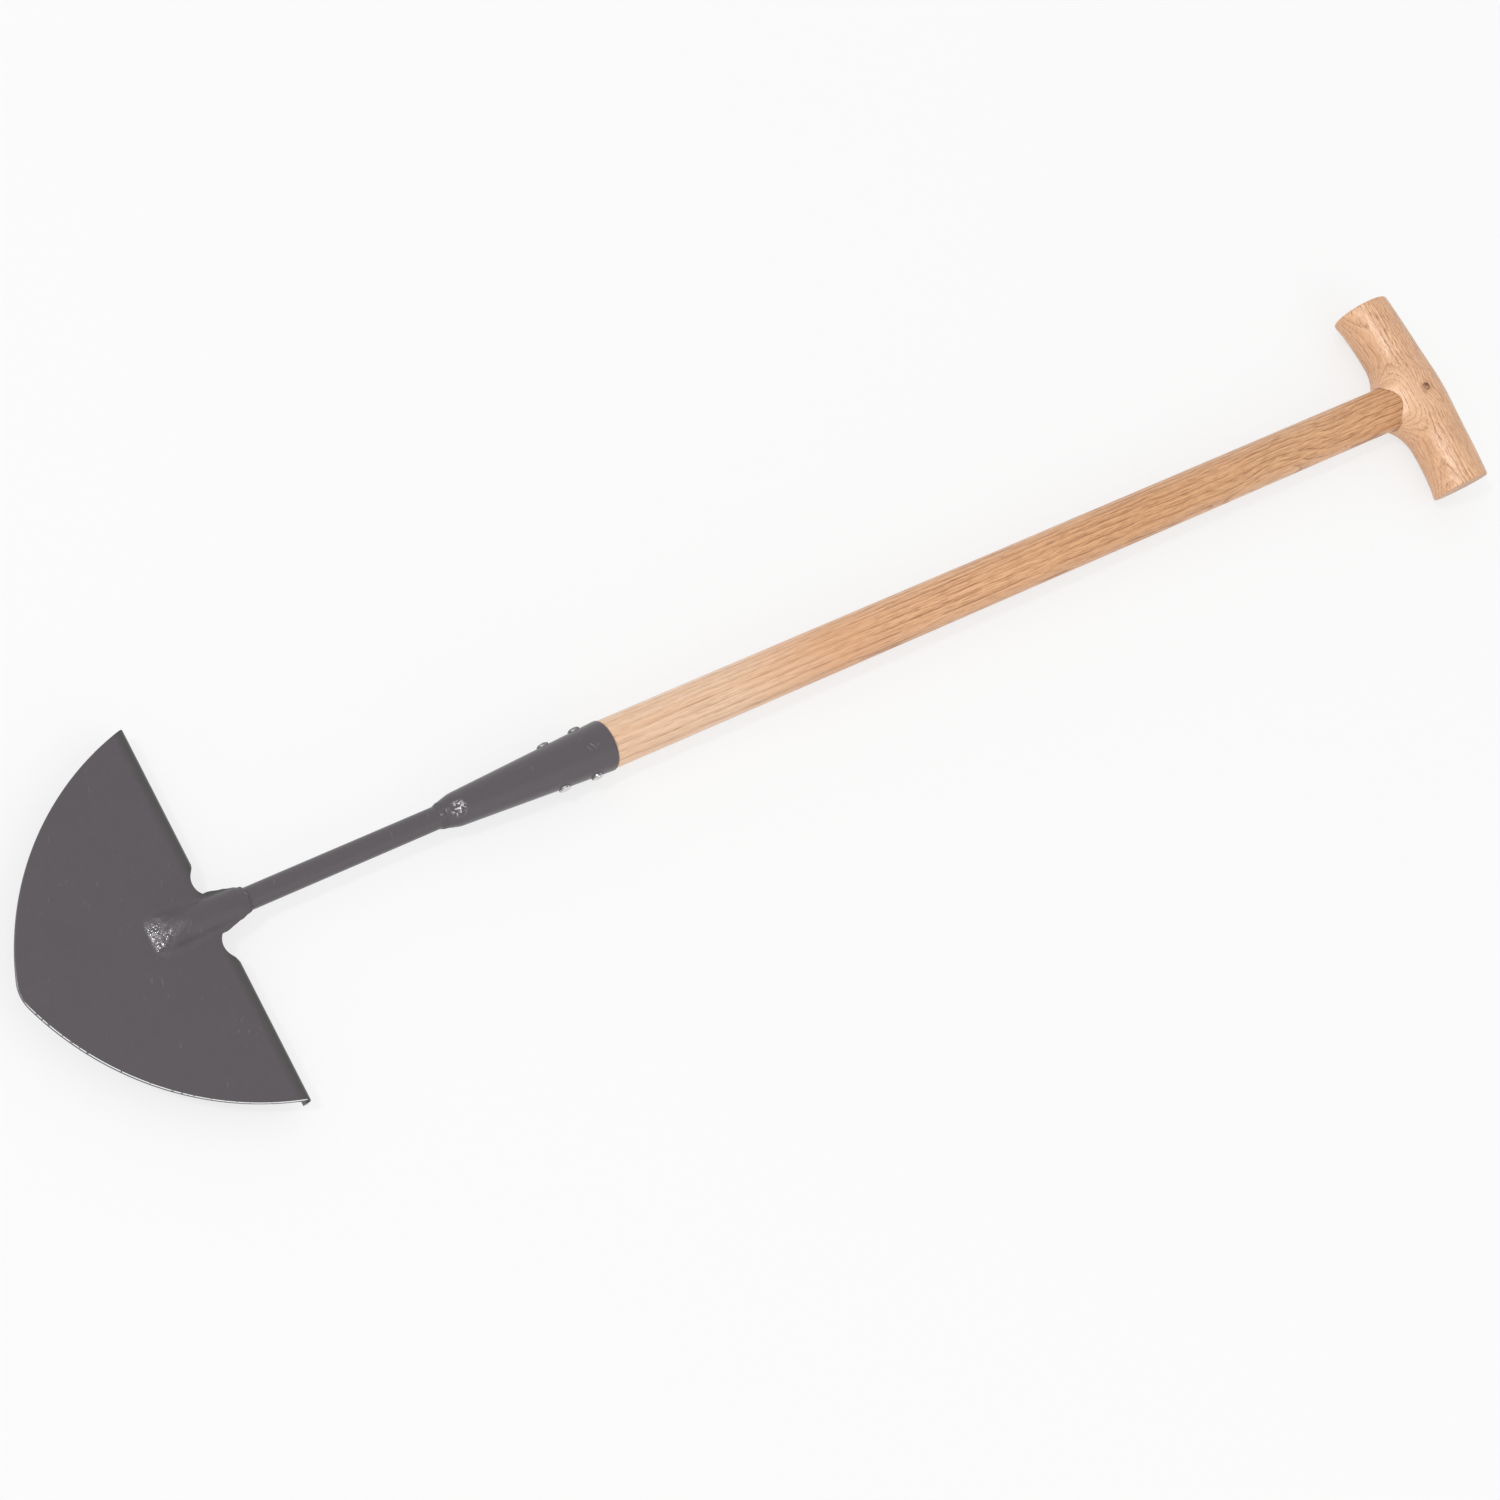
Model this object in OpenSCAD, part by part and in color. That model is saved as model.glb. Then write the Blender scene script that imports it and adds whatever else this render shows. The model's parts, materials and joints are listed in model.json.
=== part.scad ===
// Half moon edger: a pressed steel blade on a round shank, a tapered socket, an ash handle and a T-grip.
// Millimetres. X runs along the tool from the blade to the grip, Y across the blade, Z up out of its front.
// The tool lies on its back: the origin is under the middle of the whole tool, on the surface it lies on.

/* [Blade] */
// Width of the blade across its two treads
blade_w = 216; // [190:1:250]
// Depth of the blade from the treads to the point where its two cutting arcs would meet
blade_depth = 113; // [95:1:130]
// How far each cutting arc bows out from its chord
edge_bow = 20.5; // [14:0.5:26]
// Rounding of the blade's point
point_r = 22; // [10:1:40]
// Thickness of the blade's plate
plate_t = 2.5; // [2:0.1:3.5]
// Depth of a folded tread, from the blade's front face to the tread's back edge
tread_depth = 11; // [9:0.5:18]
// Inner radius of the tread's fold
fold_r = 2; // [1:0.25:3]

/* [Neck] */
// Length of the straight part of the boss pressed over the shank, behind the treads
boss_l = 26; // [18:1:40]
// Fillet where the boss runs out into the plate
boss_fillet = 6; // [3:0.5:8]
// How far the neck stands out past the treads
neck_l = 16; // [12:1:24]
// Half width of the neck's sheet at the treads
neck_root = 11.6; // [11:0.1:13]
// Half width of the neck's sheet at its free end
neck_tip = 7.5; // [7.4:0.1:8.6]
// Distance of the bottom of the notch beside the neck from the tool's axis
notch_at = 18; // [16:0.5:19]
// Depth of the notch below the tread line
notch_depth = 5.4; // [4.5:0.1:7]
// Distance of a tread's inner end from the tool's axis
tread_in = 26.5; // [26:0.5:34]

/* [Shank] */
// Diameter of the round shank
shank_d = 12.6; // [11:0.1:14]
// Free length of the shank between the treads and the small end of the socket
shank_free = 136; // [110:1:170]
// Chamfer on the shank's two ends
shank_chamfer = 3; // [1:0.5:4]
// Depth of the shank inside the socket
shank_seat = 12; // [8:1:18]

/* [Socket] */
// Length of the socket
socket_l = 105; // [85:1:125]
// Outer diameter of the socket at its mouth
mouth_d = 29.2; // [28.9:0.1:31]
// Outer diameter of the socket at the end of its swaged shoulder
shoulder_d = 18.8; // [17:0.1:20]
// Outer diameter of the socket at its small end
small_end_d = 14.6; // [14:0.1:16]
// Length of the swaged shoulder
shoulder_l = 8; // [5:0.5:10]
// Wall of the socket
socket_wall = 1.3; // [1:0.1:1.6]

/* [Rivets] */
// Diameter of a rivet's shank
rivet_d = 4.5; // [3.5:0.1:5.5]
// Diameter of a rivet's domed head
rivet_head_d = 7.2; // [6.5:0.1:9]
// Height of a rivet's domed head above the socket's wall
rivet_head_h = 1.9; // [1.5:0.1:3]
// Distance of the first rivet from the socket's mouth
rivet_edge = 12; // [8:0.5:18]
// Distance between the rivets
rivet_pitch = 21; // [15:0.5:30]

/* [Handle] */
// Diameter of the handle
handle_d = 28; // [27:0.1:28.5]
// Length of the handle that shows between the socket's mouth and the grip's hub
handle_show = 588; // [480:1:750]
// Depth to which the full handle is let into the grip's hub
handle_let_in = 16; // [12:0.5:18]
// Diameter of the tenon at the handle's end
tenon_d = 20; // [16:0.5:22]
// Length of the tenon
tenon_l = 20; // [16:0.5:22]
// Chamfer on the tenon's end
tenon_chamfer = 1; // [0.5:0.1:2]

/* [Grip] */
// Length of the T-grip
grip_l = 130; // [110:0.5:150]
// Thickness of the grip from its back to its front, away from its hub
grip_t = 34; // [32:0.5:40]
// How far the hub swells out past that thickness on each side
hub_swell = 2.5; // [0.5:0.1:4]
// Reach of the grip's hub from the grip's axis towards the blade
hub_in = 26.5; // [25:0.1:28]
// Reach of the grip's waist from the grip's axis towards the blade
waist_in = 13.7; // [12:0.1:16]
// Distance of the waist from the middle of the grip
waist_at = 31; // [27:0.5:36]
// Radius of the hollow between the hub and the waist
hollow_r = 22; // [18:0.5:26]
// Reach of the grip's ends from the grip's axis towards the blade
end_in = 19; // [17:0.1:21]
// Reach of the grip's ends from the grip's axis away from the blade
end_out = 19.4; // [17:0.1:21]
// How far the grip's outer side bows out between its ends
back_bow = 4.6; // [3:0.1:9]
// Rounding of the edges round the grip's ends
end_round = 2.5; // [1:0.25:4]
// Diameter of the peg that locks the grip on the tenon
peg_d = 5; // [4:0.25:6]
// Depth of the peg's sunk end below the grip's front
peg_sink = 0.4; // [0.2:0.1:1]

/* [Fits and welds] */
// Clearance between pieces that are fitted into each other
fit = 0.05; // [0.02:0.01:0.1]
// Leg of the weld bead round the neck's end
neck_bead = 1.6; // [1.2:0.1:2.2]
// Leg of the weld bead round the socket's small end
socket_bead = 2; // [1.2:0.1:2.8]
// Leg of the weld beads along the shank on the blade's back
back_bead = 3.6; // [2.5:0.1:4.5]

/* [Hidden] */
$fn = 96;
// Steps of an arc in an outline, and of the grip's length and girth
ARC_STEPS = 10;
GRIP_STEPS = 15;
GRIP_SIDES = 32;
// Overshoot of cutting shapes
over = 1;
// Sharpness of the grip's blend from the hub into its hollows, per millimetre
HUB_BLEND = 0.8;
// Share of a weld bead's leg at which its swollen face breaks
BEAD_SWELL = 0.7;

// Blade: each cutting arc runs from a tread's outer corner to the point
half_w = blade_w / 2;
chord = norm([blade_depth, half_w]);
edge_r = (chord * chord / 4 + edge_bow * edge_bow) / (2 * edge_bow);
chord_out = [-half_w, blade_depth] / chord;
arc_c = [-blade_depth, half_w] / 2 + chord_out * (edge_bow - edge_r);
point_c = arc_c[0] - sqrt(pow(edge_r - point_r, 2) - pow(arc_c[1], 2));
point_touch = arc_c + ([point_c, 0] - arc_c) * edge_r / (edge_r - point_r);
blade_tip = point_c - point_r;
fold_out = fold_r + plate_t;
front_z = plate_t / 2;
tread_back = front_z - tread_depth;

// Boss and neck: the sheet is pressed round the front half of the shank
shank_r = shank_d / 2;
bed_r = shank_r + fit;
boss_r = bed_r + plate_t;
fillet_c = [sqrt(pow(boss_r + boss_fillet, 2) - pow(front_z + boss_fillet, 2)), front_z + boss_fillet];
fillet_a = atan2(fillet_c[1], fillet_c[0]);
shank_end = -boss_l - shank_chamfer;

// Notch: one arc from the neck's side through its bottom up to the tread's inner end
notch_r = (pow(notch_depth, 2) + pow(tread_in - notch_at, 2)) / (2 * notch_depth);

// Stations along the tool, from the tread line
socket_start = shank_free;
mouth = socket_start + socket_l;
hub = mouth + handle_show;
grip_x = hub + hub_in;
let_in_end = hub + handle_let_in;
tenon_end = let_in_end + tenon_l;
rivet_xs = [mouth - rivet_edge - rivet_pitch, mouth - rivet_edge];

// Socket and the handle's seat in it
small_r = small_end_d / 2;
shoulder_r = shoulder_d / 2;
mouth_r = mouth_d / 2;
cone_start = socket_start + shoulder_l;
seat_start = socket_start + shank_seat;
handle_r = handle_d / 2;
tenon_r = tenon_d / 2;

// Grip: arcs of its inner and outer sides
half_l = grip_l / 2;
back_r = (half_l * half_l + back_bow * back_bow) / (2 * back_bow);
flare = end_in - waist_in;
flare_r = (pow(half_l - waist_at, 2) + flare * flare) / (2 * flare);
hub_half_t = grip_t / 2 + hub_swell;
peg_l = hub_half_t + tenon_r - peg_sink;

// The tool's lowest point and its middle set the origin
base_z = -max(hub_half_t, -tread_back);
grip_back = grip_x + end_out + back_bow;
middle_x = (blade_tip + grip_back) / 2;

function arc(c, r, a0, a1) = [for (i = [0 : ARC_STEPS]) c + r * [cos(a0 + (a1 - a0) * i / ARC_STEPS),
    sin(a0 + (a1 - a0) * i / ARC_STEPS)]];
function cone_r(x) = shoulder_r + (mouth_r - shoulder_r) * (x - cone_start) / (mouth - cone_start);
function blend_min(a, b) = -ln(exp(-HUB_BLEND * a) + exp(-HUB_BLEND * b)) / HUB_BLEND;
function hollow_in(y) = waist_in + hollow_r - sqrt(pow(hollow_r, 2) - pow(min(waist_at - y, hollow_r), 2));
function flare_in(y) = waist_in + flare_r - sqrt(pow(flare_r, 2) - pow(y - waist_at, 2));
function reach_in(y) = abs(y) > waist_at ? flare_in(abs(y)) : blend_min(hollow_in(abs(y)), hub_in);
function reach_out(y) = end_out + back_bow - back_r + sqrt(pow(back_r, 2) - y * y);
function half_t(y) = grip_t / 2 + hub_swell * (abs(y) < waist_at ? (1 + cos(180 * y / waist_at)) / 2 : 0);
// One ring of the grip's skin: two half ellipses, drawn in by inset where an end is rounded
function grip_ring(y, inset) = [for (j = [0 : GRIP_SIDES - 1]) let (a = 360 * j / GRIP_SIDES)
    [cos(a) * ((cos(a) > 0 ? reach_out(y) : reach_in(y)) - inset), y, sin(a) * (half_t(y) - inset)]];
function grip_end(side) = [for (a = [0 : 30 : 90]) [side * (half_l - end_round + end_round * sin(a)),
    end_round * (1 - cos(a))]];
function reversed(list) = [for (i = [len(list) - 1 : -1 : 0]) list[i]];

// The tool's own stations run along X from the tread line, with its axis at z = 0
module placed() {
    translate([-middle_x, 0, -base_z])
        children();
}

// Turns a profile of [radius, station] points about the tool's axis
module turned(points) {
    rotate([0, 90, 0])
        rotate_extrude()
            polygon(points);
}

module painted() {
    color([0.37, 0.35, 0.36])
        children();
}

module ash() {
    color([0.87, 0.70, 0.53])
        children();
}

// Blade outline in plan: two cutting arcs and a rounded point
module blade_plan() {
    intersection() {
        translate(arc_c)
            circle(edge_r);
        translate([arc_c[0], -arc_c[1]])
            circle(edge_r);
        translate([point_touch[0], -blade_w])
            square([-point_touch[0], 2 * blade_w]);
    }
    intersection() {
        translate([point_c, 0])
            circle(point_r);
        translate([blade_tip - over, -point_r])
            square([point_touch[0] - blade_tip + over + fit, 2 * point_r]);
    }
}

// Through the whole thickness of the folded blade
module through() {
    translate([0, 0, tread_back - over])
        linear_extrude(tread_depth + boss_r + 2 * over)
            children();
}

module plate() {
    intersection() {
        translate([0, 0, -front_z])
            linear_extrude(plate_t)
                blade_plan();
        translate([-2 * blade_depth, -blade_w, -plate_t])
            cube([2 * blade_depth - fold_out, 2 * blade_w, 2 * plate_t]);
    }
}

// Section of the folded top edge: X along the tool, Y up
module fold_section() {
    intersection() {
        difference() {
            translate([-fold_out, front_z - fold_out])
                circle(fold_out);
            translate([-fold_out, front_z - fold_out])
                circle(fold_r);
        }
        translate([-fold_out, front_z - fold_out])
            square(fold_out);
    }
    translate([-plate_t, tread_back])
        square([plate_t, tread_depth - fold_out]);
}

module treads() {
    intersection() {
        rotate([90, 0, 0])
            translate([0, 0, -half_w])
                linear_extrude(blade_w)
                    fold_section();
        through()
            blade_plan();
        difference() {
            translate([-2 * fold_out, -half_w, tread_back - over])
                cube([3 * fold_out, blade_w, tread_depth + 2 * over]);
            translate([-3 * fold_out, -neck_root, tread_back - 2 * over])
                cube([5 * fold_out, 2 * neck_root, tread_depth + 4 * over]);
        }
    }
}

// Half section of the boss over the shank, with the fillet that runs out into the plate
function boss_half() = concat(arc([0, 0], boss_r, 90, fillet_a),
    arc(fillet_c, boss_fillet, 180 + fillet_a, 270), [[fillet_c[0], -front_z], [0, -front_z]]);

module boss() {
    translate([-boss_l, 0, 0])
        rotate([90, 0, 90])
            linear_extrude(boss_l + neck_l)
                polygon(concat(boss_half(), reversed([for (p = boss_half()) if (p[0] > 0) [-p[0], p[1]]])));
    translate([-boss_l, 0, 0])
        rotate([0, 0, 90])
            rotate_extrude(angle = 180)
                polygon(boss_half());
}

// Plan of the neck's sheet past the treads, narrowing to its free end
module neck_plan() {
    polygon([[-2 * blade_depth, -blade_w], [-fold_out, -blade_w], [-fold_out, -neck_root], [0, -neck_root],
        [neck_l, -neck_tip], [neck_l, neck_tip], [0, neck_root], [-fold_out, neck_root], [-fold_out, blade_w],
        [-2 * blade_depth, blade_w]]);
}

module notch_plan() {
    intersection() {
        translate([notch_r - notch_depth, notch_at])
            circle(notch_r);
        translate([-notch_depth, neck_root])
            square([notch_depth + neck_l, tread_in - neck_root]);
    }
}

// The bed that the shank lies in, open at the blade's back
module shank_bed() {
    translate([shank_end - fit, 0, 0])
        rotate([0, 90, 0])
            cylinder(h = neck_l - shank_end + over, r = bed_r);
    translate([shank_end - fit, -bed_r, tread_back - over])
        cube([neck_l - shank_end + over, 2 * bed_r, over - tread_back]);
}

module blade() {
    painted() placed()
        difference() {
            union() {
                plate();
                treads();
                intersection() {
                    boss();
                    through()
                        neck_plan();
                }
            }
            through() {
                notch_plan();
                mirror([0, 1])
                    notch_plan();
            }
            shank_bed();
        }
}

module shank() {
    painted() placed()
        turned([[0, shank_end], [shank_r - shank_chamfer, shank_end], [shank_r, shank_end + shank_chamfer],
            [shank_r, seat_start - shank_chamfer], [shank_r - shank_chamfer, seat_start], [0, seat_start]]);
}

// A fillet bead round the front of the shank where the neck ends
module neck_weld() {
    painted() placed()
        intersection() {
            turned([[shank_r + fit, neck_l], [shank_r + neck_bead, neck_l],
                [shank_r + neck_bead * BEAD_SWELL, neck_l + neck_bead * BEAD_SWELL],
                [shank_r + fit, neck_l + neck_bead]]);
            translate([neck_l, -2 * shank_r, -front_z])
                cube([2 * neck_bead, 4 * shank_r, 4 * shank_r]);
        }
}

// Two beads in the corners between the shank and the blade's back
module back_welds() {
    painted() placed()
        for (side = [-1, 1])
            difference() {
                translate([-boss_l, side * bed_r, -front_z])
                    rotate([0, 90, 0])
                        cylinder(h = boss_l - notch_depth, r = back_bead);
                translate([-boss_l - over, -boss_r - back_bead, -front_z])
                    cube([boss_l + over, 2 * (boss_r + back_bead), back_bead + over]);
                translate([-boss_l - over, 0, 0])
                    rotate([0, 90, 0])
                        cylinder(h = boss_l + 2 * over, r = bed_r);
            }
}

module rivet_holes() {
    for (x = rivet_xs)
        translate([x, 0, 0])
            rotate([90, 0, 0])
                cylinder(h = 2 * handle_d, d = rivet_d + 2 * fit, center = true);
}

module socket() {
    painted() placed()
        difference() {
            turned([[shank_r + fit, socket_start], [small_r, socket_start], [shoulder_r, cone_start],
                [mouth_r, mouth], [mouth_r - socket_wall, mouth], [cone_r(seat_start) - socket_wall, seat_start],
                [shank_r + fit, seat_start]]);
            rivet_holes();
        }
}

// A low bead that closes the socket's small end on the shank
module socket_weld() {
    painted() placed()
        turned([[shank_r + fit, socket_start], [small_r, socket_start],
            [shank_r + (small_r - shank_r) * BEAD_SWELL, socket_start - socket_bead * BEAD_SWELL],
            [shank_r + fit, socket_start - socket_bead]]);
}

// One rivet across the socket, with a domed head formed down on each side
module socket_rivet(x) {
    head_r = rivet_head_d / 2;
    dome_r = (head_r * head_r + rivet_head_h * rivet_head_h) / (2 * rivet_head_h);
    top = cone_r(x) + rivet_head_h;
    translate([x, 0, 0])
        rotate([90, 0, 0])
            cylinder(h = 2 * cone_r(x) + rivet_head_h, d = rivet_d, center = true);
    for (side = [-1, 1])
        difference() {
            intersection() {
                translate([x, side * (top - dome_r), 0])
                    sphere(dome_r);
                translate([x, side * top / 2, 0])
                    rotate([90, 0, 0])
                        cylinder(h = top, r = head_r, center = true);
            }
            turned([[0, cone_start], [cone_r(cone_start) + fit, cone_start], [mouth_r + fit, mouth], [0, mouth]]);
        }
}

module socket_rivets() {
    color([0.72, 0.71, 0.71]) placed()
        for (x = rivet_xs)
            socket_rivet(x);
}

module handle() {
    seat_r = cone_r(seat_start) - socket_wall - fit;
    rim_r = mouth_r - socket_wall - fit;
    ash() placed()
        difference() {
            turned([[0, seat_start + fit], [seat_r, seat_start + fit], [rim_r, mouth],
                [handle_r, mouth + handle_r - rim_r], [handle_r, let_in_end - fit],
                [tenon_r, let_in_end - fit], [tenon_r, tenon_end - fit - tenon_chamfer],
                [tenon_r - tenon_chamfer, tenon_end - fit], [0, tenon_end - fit]]);
            rivet_holes();
            peg_hole();
        }
}

module peg_hole() {
    translate([grip_x, 0, -tenon_r - fit])
        cylinder(h = tenon_r + hub_half_t + over, d = peg_d + 2 * fit);
}

// The grip's skin: rings along Y, closed by a flat face at each end
module grip_skin() {
    inner_l = half_l - end_round;
    stations = concat(reversed(grip_end(-1)),
        [for (i = [1 - GRIP_STEPS : GRIP_STEPS - 1]) [inner_l * i / GRIP_STEPS, 0]], grip_end(1));
    rings = [for (s = stations) grip_ring(s[0], s[1])];
    last = (len(rings) - 1) * GRIP_SIDES;
    sides = [for (i = [0 : len(rings) - 2], j = [0 : GRIP_SIDES - 1], half = [0, 1])
        let (a = i * GRIP_SIDES + j, b = i * GRIP_SIDES + (j + 1) % GRIP_SIDES)
        half == 0 ? [a, b, b + GRIP_SIDES] : [a, b + GRIP_SIDES, a + GRIP_SIDES]];
    near_cap = [for (j = [GRIP_SIDES - 1 : -1 : 0]) j];
    far_cap = [for (j = [0 : GRIP_SIDES - 1]) last + j];
    polyhedron([for (ring = rings) each ring], concat(sides, [near_cap, far_cap]));
}

module grip() {
    ash() placed()
        difference() {
            translate([grip_x, 0, 0])
                grip_skin();
            translate([hub - over, 0, 0])
                rotate([0, 90, 0])
                    cylinder(h = handle_let_in + over, r = handle_r + fit);
            translate([hub, 0, 0])
                rotate([0, 90, 0])
                    cylinder(h = handle_let_in + tenon_l, r = tenon_r + fit);
            peg_hole();
        }
}

// A peg driven from the front through the grip and the tenon
module grip_peg() {
    color([0.45, 0.28, 0.17]) placed()
        translate([grip_x, 0, -tenon_r])
            cylinder(h = peg_l, d = peg_d);
}

blade();
shank();
neck_weld();
back_welds();
socket();
socket_weld();
socket_rivets();
handle();
grip();
grip_peg();
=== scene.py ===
import json
import math

import bmesh
import bpy
from bpy.props import FloatProperty, FloatVectorProperty, PointerProperty
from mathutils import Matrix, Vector, noise


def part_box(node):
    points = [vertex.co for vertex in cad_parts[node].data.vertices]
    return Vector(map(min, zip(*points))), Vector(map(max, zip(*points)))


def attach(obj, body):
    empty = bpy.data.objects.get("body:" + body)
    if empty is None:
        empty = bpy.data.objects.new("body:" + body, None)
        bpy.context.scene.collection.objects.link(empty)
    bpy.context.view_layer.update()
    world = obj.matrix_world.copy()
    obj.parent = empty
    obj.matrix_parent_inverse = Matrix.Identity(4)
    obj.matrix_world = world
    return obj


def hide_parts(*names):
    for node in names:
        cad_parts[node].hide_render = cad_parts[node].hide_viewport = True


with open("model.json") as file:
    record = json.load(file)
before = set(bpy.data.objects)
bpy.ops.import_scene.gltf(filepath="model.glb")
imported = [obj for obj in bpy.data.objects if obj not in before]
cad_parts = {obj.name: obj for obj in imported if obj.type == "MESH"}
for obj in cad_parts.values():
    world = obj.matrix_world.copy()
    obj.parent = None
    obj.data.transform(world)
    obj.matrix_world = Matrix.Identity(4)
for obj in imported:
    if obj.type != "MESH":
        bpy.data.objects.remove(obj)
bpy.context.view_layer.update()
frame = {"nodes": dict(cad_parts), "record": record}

bl_info = {
    "name": "Half Moon Edger",
    "version": (1, 0, 0),
    "blender": (4, 5, 0),
    "location": "View3D > Sidebar > Edger",
    "description": "Builds the blade, shank, socket, handle and T-grip of a half moon edger around its frame",
    "category": "Add Mesh",
}

# Facts of the packed frame
SPAN = {name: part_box(name) for name in frame["nodes"]}
TREAD_X = frame["record"]["mounts"][0]["pos_m"][0]
AXIS_Z = (SPAN["handle"][0].z + SPAN["handle"][1].z) / 2
GRIP_X = (SPAN["grip_peg"][0].x + SPAN["grip_peg"][1].x) / 2
HALF_BLADE = SPAN["blade"][1].y
MM = 0.001
WHITE = (1.0, 1.0, 1.0)
FIT = 0.05 * MM
FLOOR_HALF = 40.0
FLOOR_DROP = 0.2 * MM
SENSOR = 36.0
KEY_BOX = {"size": 0.55, "place": (-3.3, 0.9, 4.92), "target": (0.0, 0.0, 0.02)}
FILL_BOX = {"size": 3.2, "place": (0.1, -2.6, 1.3), "target": (0.05, 0.0, 0.0)}
# Outline of a rivet's head from its top down, in shares of its radius and height
HEAD_LINE = ((0.0, 0.0), (0.35, 0.04), (0.62, 0.16), (0.84, 0.36), (0.97, 0.58), (1.0, 0.70))
# Section of the socket's weld in millimetres, past the socket's small end and over the shank
WELD_LINE = ((-3.4, -0.05), (-2.6, 0.22), (-1.7, 0.55), (-0.8, 0.86), (0.0, 1.02), (0.8, 1.0), (0.8, 0.3),
             (-3.4, -0.05))


def length(name, description, default):
    """A size whose default is given in millimetres."""
    return FloatProperty(name=name, description=description, default=default * MM, min=0.0, max=10.0, precision=5,
                         unit="LENGTH", subtype="DISTANCE")


def share(name, description, default):
    """A share from nothing to all."""
    return FloatProperty(name=name, description=description, default=default, min=0.0, max=1.0, subtype="FACTOR")


def tint(name, description, default):
    """A colour, in linear light."""
    return FloatVectorProperty(name=name, description=description, default=default, size=3, min=0.0, max=1.0,
                               subtype="COLOR")


class EdgerSteel(bpy.types.PropertyGroup):
    """Sizes of the pressed, turned and welded steel."""
    sheet: length("Sheet", "Thickness of the blade's sheet", 2.5)
    depth: length("Depth", "From the treads to where the two cutting arcs would meet", 113)
    bow: length("Bow", "How far each cutting arc bows out from its chord", 20.5)
    point_r: length("Point", "Rounding of the blade's point", 22)
    tread: length("Tread", "Depth of a folded tread behind the blade's front", 11)
    fold: length("Fold", "Outer radius of the tread's fold", 4.5)
    boss_l: length("Boss length", "Straight part of the boss behind the treads", 26)
    boss_r: length("Boss radius", "Outer radius of the boss over the shank", 8.85)
    boss_fillet: length("Boss fillet", "Fillet where the boss runs out into the sheet", 6)
    neck_l: length("Neck length", "How far the neck stands out past the treads", 16)
    neck_root: length("Neck root", "Half width of the neck at the treads", 11.6)
    neck_tip: length("Neck tip", "Half width of the neck at its free end", 7.4)
    neck_drop: length("Neck drop", "How far the boss is drawn in at the neck's end", 1.9)
    notch_at: length("Notch place", "Distance of the notch's bottom from the axis", 18)
    notch_in: length("Notch depth", "Depth of the notch below the tread line", 5.4)
    tread_in: length("Tread end", "Distance of a tread's inner end from the axis", 26.5)
    ease: length("Tread corner", "Easing of a tread's inner corner", 0.6)
    bell: length("Boss foot", "Half width of the boss where it runs out", 14.5)
    rim: length("Rim", "Rounding of the sheet's cut edges", 0.3)
    shank_r: length("Shank radius", "Radius of the round shank", 6.3)
    small_r: length("Small end", "Radius of the socket's small end", 7.3)
    shoulder_r: length("Shoulder radius", "Radius of the socket at the end of its shoulder", 9.4)
    shoulder_l: length("Shoulder length", "Length of the swaged shoulder", 8)
    mouth_r: length("Mouth radius", "Radius of the socket at its mouth", 14.6)
    wall: length("Wall", "Wall of the socket", 1.3)
    seat: length("Seat", "Depth of the shank in the socket", 12)
    head_r: length("Rivet head", "Radius of a rivet's head", 3.6)
    head_h: length("Rivet height", "Height of a rivet's head", 1.9)
    rivet_r: length("Rivet shank", "Radius of a rivet's shank", 2.25)
    ramp: length("Ramp", "Length of the slope at the boss's end", 16)
    dent: length("Dents", "Depth of the dents in the boss's end", 1.2)


class EdgerWood(bpy.types.PropertyGroup):
    """Sizes of the turned and carved wood."""
    handle_r: length("Handle radius", "Radius of the handle", 14)
    let_in: length("Let in", "Depth to which the full handle enters the hub", 16)
    tenon_r: length("Tenon radius", "Radius of the tenon in the grip", 10)
    hub_in: length("Hub reach", "Reach of the hub towards the blade", 26.5)
    waist_in: length("Waist reach", "Reach of the waist towards the blade", 13.7)
    waist_at: length("Waist place", "Distance of the waist from the grip's middle", 31)
    hollow_r: length("Hollow", "Radius of the hollow between hub and waist", 22)
    end_in: length("End reach in", "Reach of the ends towards the blade", 19)
    end_out: length("End reach out", "Reach of the ends away from the blade", 19.4)
    back_bow: length("Back bow", "Bow of the grip's outer side", 4.6)
    half_t: length("Half thickness", "Half the grip's thickness away from its hub", 17)
    swell: length("Hub swell", "How far the hub swells out past that", 2.42)
    end_round: length("End rounding", "Rounding round the grip's ends", 1.2)
    end_slant: share("End slant", "How far the grip's end faces lean in towards their back", 0.055)
    ring_gap: length("Ring gap", "Distance of the handle's growth rings", 3.1)
    grip_gap: length("Grip ring gap", "Distance of the grip's growth rings", 2.1)


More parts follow.
